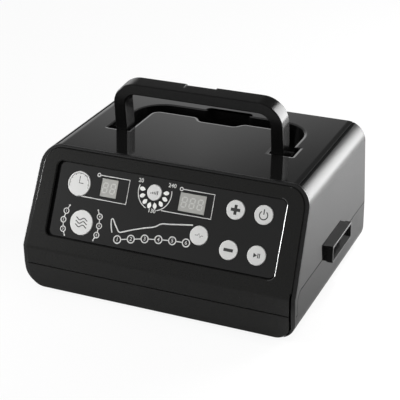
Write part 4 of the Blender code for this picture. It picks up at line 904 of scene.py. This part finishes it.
symbols = {
    "plateHeight": 0.04,
    "dialRadius": 9.1, "dialEnds": (-20, 200), "dialLine": 0.5,
    "tickReach": (8.0, 9.0), "tickStep": 30, "ticks": 7, "tickLine": 0.6,
    "hands": [(0, 6.6), (0, 0.6), (4.0, 0.6)], "handLine": 0.85,
    "waveRows": (-3.0, 0.0, 3.0), "waveStart": -5.6, "waveStep": 0.35, "wavePoints": 33,
    "waveLength": 7.5, "waveHeight": 1.0, "waveLine": 1.0,
    "bars": 5, "barWidth": 0.7, "barPitch": 1.5, "barLow": 1.2, "barRise": 0.5, "barBase": -1.5,
    "pulse": [(-3.6, 0), (-1.2, 0), (0, 1.6), (1.2, -1.6), (2.2, 0), (3.8, 0)],
    "pulseLine": 0.6,
    "signLong": 8.2, "signWide": 2.6, "signRadius": 0.2, "signLift": 0.002,
    "powerRadius": 3.5, "powerLow": -0.4, "powerEnds": (125, 415),
    "powerStem": [(0, 4.6), (0, 0.2)], "powerLine": 1.1,
    "play": [(-2.6, -2.0), (0.6, 0.0), (-2.6, 2.0)], "pauseSize": (0.8, 3.8),
    "pauseAt": (1.3, 2.7),
}


def flatShape(corners, level=0.0):
    return block(corners, level, level + symbols["plateHeight"], segments=3)


def rectangle(width, height, radius=0.0, x=0.0, y=0.0):
    return cornersOf(x - width / 2, x + width / 2, y - height / 2, y + height / 2, radius)


def dialMark(s):
    dial = strokes([(arcPoints(0, 0, s["dialRadius"], *s["dialEnds"], 40), False)],
                   s["dialLine"])
    ticks = []
    for step in range(s["ticks"]):
        angle = math.radians(s["tickStep"] * step)
        ends = [(reach * math.cos(angle), reach * math.sin(angle)) for reach in s["tickReach"]]
        ticks.append((ends, False))
    hands = strokes([(s["hands"], False)], s["handLine"])
    return addTo(dial, strokes(ticks, s["tickLine"]), hands)


def waveMark(s):
    places = [s["waveStart"] + s["waveStep"] * step for step in range(s["wavePoints"])]
    wave = [s["waveHeight"] * math.sin(x * math.tau / s["waveLength"]) for x in places]
    rows = [([(x, row + y) for x, y in zip(places, wave)], False) for row in s["waveRows"]]
    return strokes(rows, s["waveLine"])


def barMark(s):
    bars = bmesh.new()
    for index in range(s["bars"]):
        tall = s["barLow"] + s["barRise"] * index
        x = (index - (s["bars"] - 1) / 2) * s["barPitch"]
        addTo(bars, flatShape(rectangle(s["barWidth"], tall, 0, x, tall / 2 + s["barBase"])))
    return bars


def pulseMark(s):
    return strokes([(s["pulse"], False)], s["pulseLine"])


def minusMark(s):
    return flatShape(rectangle(s["signLong"], s["signWide"], s["signRadius"]))


def plusMark(s):
    upright = rectangle(s["signWide"], s["signLong"], s["signRadius"])
    return addTo(minusMark(s), flatShape(upright, s["signLift"]))


def powerMark(s):
    arc = arcPoints(0, s["powerLow"], s["powerRadius"], *s["powerEnds"])
    return strokes([(arc, False), (s["powerStem"], False)], s["powerLine"])


def startMark(s):
    mark = flatShape(s["play"])
    for x in s["pauseAt"]:
        addTo(mark, flatShape(rectangle(*s["pauseSize"], 0, x)))
    return mark


def makeCapMarks():
    marks = {"time_button": dialMark, "mode_button": waveMark, "gauge_button": barMark,
             "leg_button": pulseMark, "plus_button": plusMark, "minus_button": minusMark,
             "power_button": powerMark, "start_button": startMark}
    for name, draw in marks.items():
        x, t, _ = caps[name]
        mark = draw(symbols)
        bmesh.ops.translate(mark, vec=(x, t, capFit["top"] - inkShift), verts=mark.verts)
        keepPiece(name + "_mark", mark, "printDark", name + "_cap", panelPlace,
                  weigh=False)


makeFilm()
makeCaps()
makeDisplays()
makePanelPrint()
makeCapMarks()
print("stage: control panel done")


# Handle

handle = {"half": 78.9, "reach": 56.35, "deep": 16.5, "leg": 11.0, "bar": 10.0, "radius": 22.0,
          "edge": 1.0, "flat": 0.2, "lean": math.radians(5.0), "pivot": (0, 103.5, 109.7),
          "hub": 9.2, "boss": 5.7, "hubInside": 0.3, "hubEdge": 0.6, "hubClear": 0.1,
          "pin": 2.6, "pinEnds": (60.0, 90.0), "notchHalf": 14.0, "notchDeep": 1.6,
          "notchEdge": 0.5, "litWide": 0.45, "litDeep": 3.0}


def makeHandle():
    h = handle
    legInside = h["half"] - h["leg"]
    outside = [(legInside, 0.0), (h["half"], 0.0), (h["half"], h["reach"], h["radius"])]
    inside = [(legInside, h["reach"] - h["bar"], h["radius"] - h["leg"])]
    arch = block(bothSides(outside) + mirrored(inside) + inside, -h["deep"] / 2, h["deep"] / 2,
                 "front", 14)
    soften(arch, h["edge"], 4, lambda x, y, z: z > near)
    arch = carve(arch, boxOf((-h["notchHalf"], h["notchHalf"]), (0, h["deep"]),
                             (h["reach"] - h["notchDeep"], h["reach"] + over)))
    tidyMesh(arch, h["flat"])
    soften(arch, h["notchEdge"], 3, lambda x, y, z: z > h["reach"] - near
           and abs(abs(x) - h["notchHalf"]) < near)
    turn = Matrix.Translation(h["pivot"]) @ Matrix.Rotation(h["lean"], 4, "X")
    bmesh.ops.transform(arch, matrix=turn, verts=arch.verts)
    x0, y0, z0 = h["pivot"]
    hubStart, hubEnd = legInside - h["hubInside"], h["half"] + h["boss"]
    for side in (-1, 1):
        hub = rod((side * hubStart, y0, z0), (side * hubEnd, y0, z0), h["hub"], 48)
        soften(hub, h["hubEdge"], 3)
        arch = carve(arch, hub, "UNION")
    pinStart, pinEnd = h["pinEnds"]
    for side in (-1, 1):
        arch = carve(arch, rod((side * pinStart, y0, z0), (side * pinEnd, y0, z0), h["pin"]))

    # the hub faces that stand out of the legs, which get painted shade
    def onHub(x, y, z):
        clear = h["hubClear"]
        return (math.hypot(y - y0, z - z0) < h["hub"] + clear
                and not legInside - clear < abs(x) < h["half"] + clear)

    def onNotchEnd(x, y, z):
        return abs(abs(x) - h["notchHalf"]) < h["litWide"] and z > z0 + h["reach"] - h["litDeep"]

    keepPiece("carryHandle", arch, "handleBlack", "handle",
              stands=["carry_handle"], sharp=40.0,
              others=(("paintedShadeBlack", onHub), ("rimBlack", onNotchEnd)))


makeHandle()
print("stage: handle done")


# Hose port

collar = {"inner": 117.0, "stepEnd": 129.0, "outer": 134.4, "overlap": 1.0, "wall": 1.8,
          "radius": 0.6, "outerRadius": 0.9, "edge": 0.5, "mouthEdge": 0.25,
          "flange": 2.8, "flangeEnds": (118.2, 120.2)}


def sleeve(grow, start, end, radius):
    # a bar across the side wall with the outline of the port
    return roundedBox(port["front"] - grow, port["rear"] + grow, port["low"] - grow,
                      port["high"] + grow, radius, (start, end), "side", 4)


def makeCollar():
    c = collar
    inner, stepEnd, outer, radius = c["inner"], c["stepEnd"], c["outer"], c["radius"]
    head = sleeve(0, stepEnd, outer, c["outerRadius"])
    soften(head, c["edge"], 3, lambda x, y, z: x > outer - near)
    tube = carve(sleeve(-port["step"], inner, stepEnd + c["overlap"], radius), head, "UNION")
    tube = carve(tube, sleeve(c["flange"], *c["flangeEnds"], radius), "UNION")
    tube = carve(tube, sleeve(-c["wall"], inner - c["overlap"], outer + c["overlap"], radius))
    tidyMesh(tube)
    soften(tube, c["mouthEdge"], 2, lambda x, y, z: x > outer - near)
    thing = keepPiece("hoseCollar", tube, "handleBlack", "body",
                      stands=["port_collar"])
    thing.visible_glossy = False    # no mirror image of it in the shell beside it


makeCollar()
print("stage: hose port done")


# CAD nodes that stay get their finishes

# the capacitor gets painted shade, a near-black sleeve in place of the look of its slot
ownLooks = {"smoothing_capacitor": "sleeveShadeDark"}    # in place of the look of the node's slot


def dressFrameNodes():
    for part in frame["record"]["subparts"]:
        node = frame["nodes"][part["node"]]
        if node.hide_render:
            continue
        look = ownLooks.get(part["node"], part["material_slot"])
        for materialSlot in node.material_slots:
            materialSlot.material = finishes[look]


dressFrameNodes()


# Studio

studio = {
    "floor": 2.4, "floorColor": (0.62, 0.62, 0.62, 1), "floorRoughness": 0.9,
    "floorGlow": 1.10, "glowShare": 0.8, "light": 0.50,
    "behind": [(0.0, 1.0), (0.33, 0.95), (0.40, 0.50), (0.44, 0.20), (0.50, 0.12)],
    "middle": 0.375, "sideDrop": 0.36, "sideMost": 0.12,
    "frontLeft": 0.45, "frontRight": 0.15, "frontReach": 0.7, "turnReach": 0.3,
}


def maths(tree, operation, *values):
    return addNode(tree, "Math", dict(enumerate(values)), operation=operation).outputs["Value"]


def makeFloor():
    bm = bmesh.new()
    bmesh.ops.create_grid(bm, x_segments=1, y_segments=1, size=studio["floor"])
    floor = looseObject(bm, "studioFloor")
    material = bpy.data.materials.new("floorWhite")
    material.use_nodes = True
    tree = material.node_tree
    shader = tree.nodes["Principled BSDF"]
    feed(tree, shader, {"Roughness": studio["floorRoughness"],
                        "Base Color": studio["floorColor"]})
    glow = addNode(tree, "Emission", {"Strength": studio["floorGlow"]})
    path = addNode(tree, "LightPath")
    share = maths(tree, "MULTIPLY", path.outputs["Is Camera Ray"], studio["glowShare"])
    blend = addNode(tree, "MixShader", {"Fac": share, 1: shader.outputs["BSDF"],
                                        2: glow.outputs["Emission"]})
    feed(tree, tree.nodes["Material Output"], {"Surface": blend.outputs["Shader"]})
    floor.data.materials.append(material)


def levelBehind(tree, parts):
    # pale low down and dark above, where the pale part reaches less high at the sides
    aside = maths(tree, "ABSOLUTE", maths(tree, "ADD", parts.outputs["X"], studio["middle"]))
    drop = maths(tree, "MINIMUM", maths(tree, "MULTIPLY", aside, studio["sideDrop"]),
                 studio["sideMost"])
    ramp = addNode(tree, "ValToRGB", {"Fac": maths(tree, "ADD", parts.outputs["Z"], drop)})
    stops = ramp.color_ramp.elements
    for index, (height, level) in enumerate(studio["behind"]):
        stop = stops[index] if index < 2 else stops.new(height)
        stop.position = height
        stop.color = (level, level, level, 1)
    return ramp.outputs["Color"]


def makeWorld():
    world = bpy.data.worlds.new("studioWorld")
    bpy.context.scene.world = world
    world.use_nodes = True
    tree = world.node_tree
    coords = addNode(tree, "TexCoord")
    parts = addNode(tree, "SeparateXYZ", {"Vector": coords.outputs["Generated"]})
    inFront = addNode(tree, "MapRange", {
        "Value": parts.outputs["X"], "From Min": -studio["frontReach"],
        "From Max": studio["frontReach"], "To Min": studio["frontLeft"],
        "To Max": studio["frontRight"]})
    turn = addNode(tree, "MapRange", {
        "Value": parts.outputs["Y"], "From Min": -studio["turnReach"],
        "From Max": studio["turnReach"]}, interpolation_type="SMOOTHSTEP")
    # what shiny surfaces see, then what lights the rest, then the white that the camera sees
    reflected = addNode(tree, "Mix", {"Factor": turn.outputs["Result"],
                                      "A": inFront.outputs["Result"],
                                      "B": levelBehind(tree, parts)})
    path = addNode(tree, "LightPath")
    shiny = addNode(tree, "Math", {0: path.outputs["Is Glossy Ray"],
                                   1: path.outputs["Is Transmission Ray"]}, use_clamp=True)
    lit = addNode(tree, "Mix", {"Factor": shiny.outputs["Value"], "A": studio["light"],
                                "B": reflected.outputs["Result"]})
    seen = addNode(tree, "Mix", {"Factor": path.outputs["Is Camera Ray"],
                                 "A": lit.outputs["Result"], "B": 1.0})
    feed(tree, tree.nodes["Background"], {"Strength": seen.outputs["Result"],
                                          "Color": (1, 1, 1, 1)})


lamps = {    # places and sizes in metres, power in watts, spread in degrees
    "shoulderBox": {"place": (0.646, 0.768, 0.44), "target": (0.076, 0.018, 0.44),
                    "size": (0.44, 0.85), "power": 3.927 * math.pi},
    "leftBox": {"place": (-0.6, -0.29, 0.20), "target": (0.1, -0.08, 0.09),
                "size": (0.20, 0.14), "power": 0.14 * math.pi, "spread": 50},
    "floorBox": {"place": (0.55, 0.20, 1.2), "target": (0.55, 0.20, 0), "size": (0.4, 0.4),
                 "power": 4, "spread": 40, "shiny": False},
    "topBox": {"place": (-0.2, -0.5, 1.6), "target": (0, 0, 0.05), "size": (1.6, 1.2),
               "power": 2, "shiny": False},
}


def makeLamps():
    for name, spec in lamps.items():
        light = bpy.data.lights.new(name, "AREA")
        light.shape = "RECTANGLE"
        light.size, light.size_y = spec["size"]
        light.energy = spec["power"]
        light.spread = math.radians(spec.get("spread", 180))
        lamp = linked(name, light)
        lamp.visible_camera = False
        lamp.visible_glossy = spec.get("shiny", True)
        aim = (Vector(spec["target"]) - Vector(spec["place"])).to_track_quat("-Z", "Y")
        lamp.matrix_world = Matrix.Translation(spec["place"]) @ aim.to_matrix().to_4x4()


cameraFit = {"lens": 109.75, "sensor": 36.0, "clip": (0.05, 20.0),
             "place": (0.39218, -0.88529, 0.53699),
             "up": (-0.16516836, 0.40425459, 0.89960971),
             "forward": (-0.36674365, 0.82155618, -0.43651408)}


def makeCamera():
    data = bpy.data.cameras.new("photoCamera")
    data.lens, data.sensor_width = cameraFit["lens"], cameraFit["sensor"]
    data.clip_start, data.clip_end = cameraFit["clip"]
    camera = linked("photoCamera", data)
    up, forward = Vector(cameraFit["up"]), Vector(cameraFit["forward"])
    turn = Matrix((forward.cross(up), up, -forward)).transposed().to_4x4()
    camera.matrix_world = Matrix.Translation(cameraFit["place"]) @ turn
    bpy.context.scene.camera = camera


makeFloor()
makeWorld()
makeLamps()
makeCamera()
scene = bpy.context.scene
scene.view_settings.view_transform = "Standard"
print("stage: studio done")
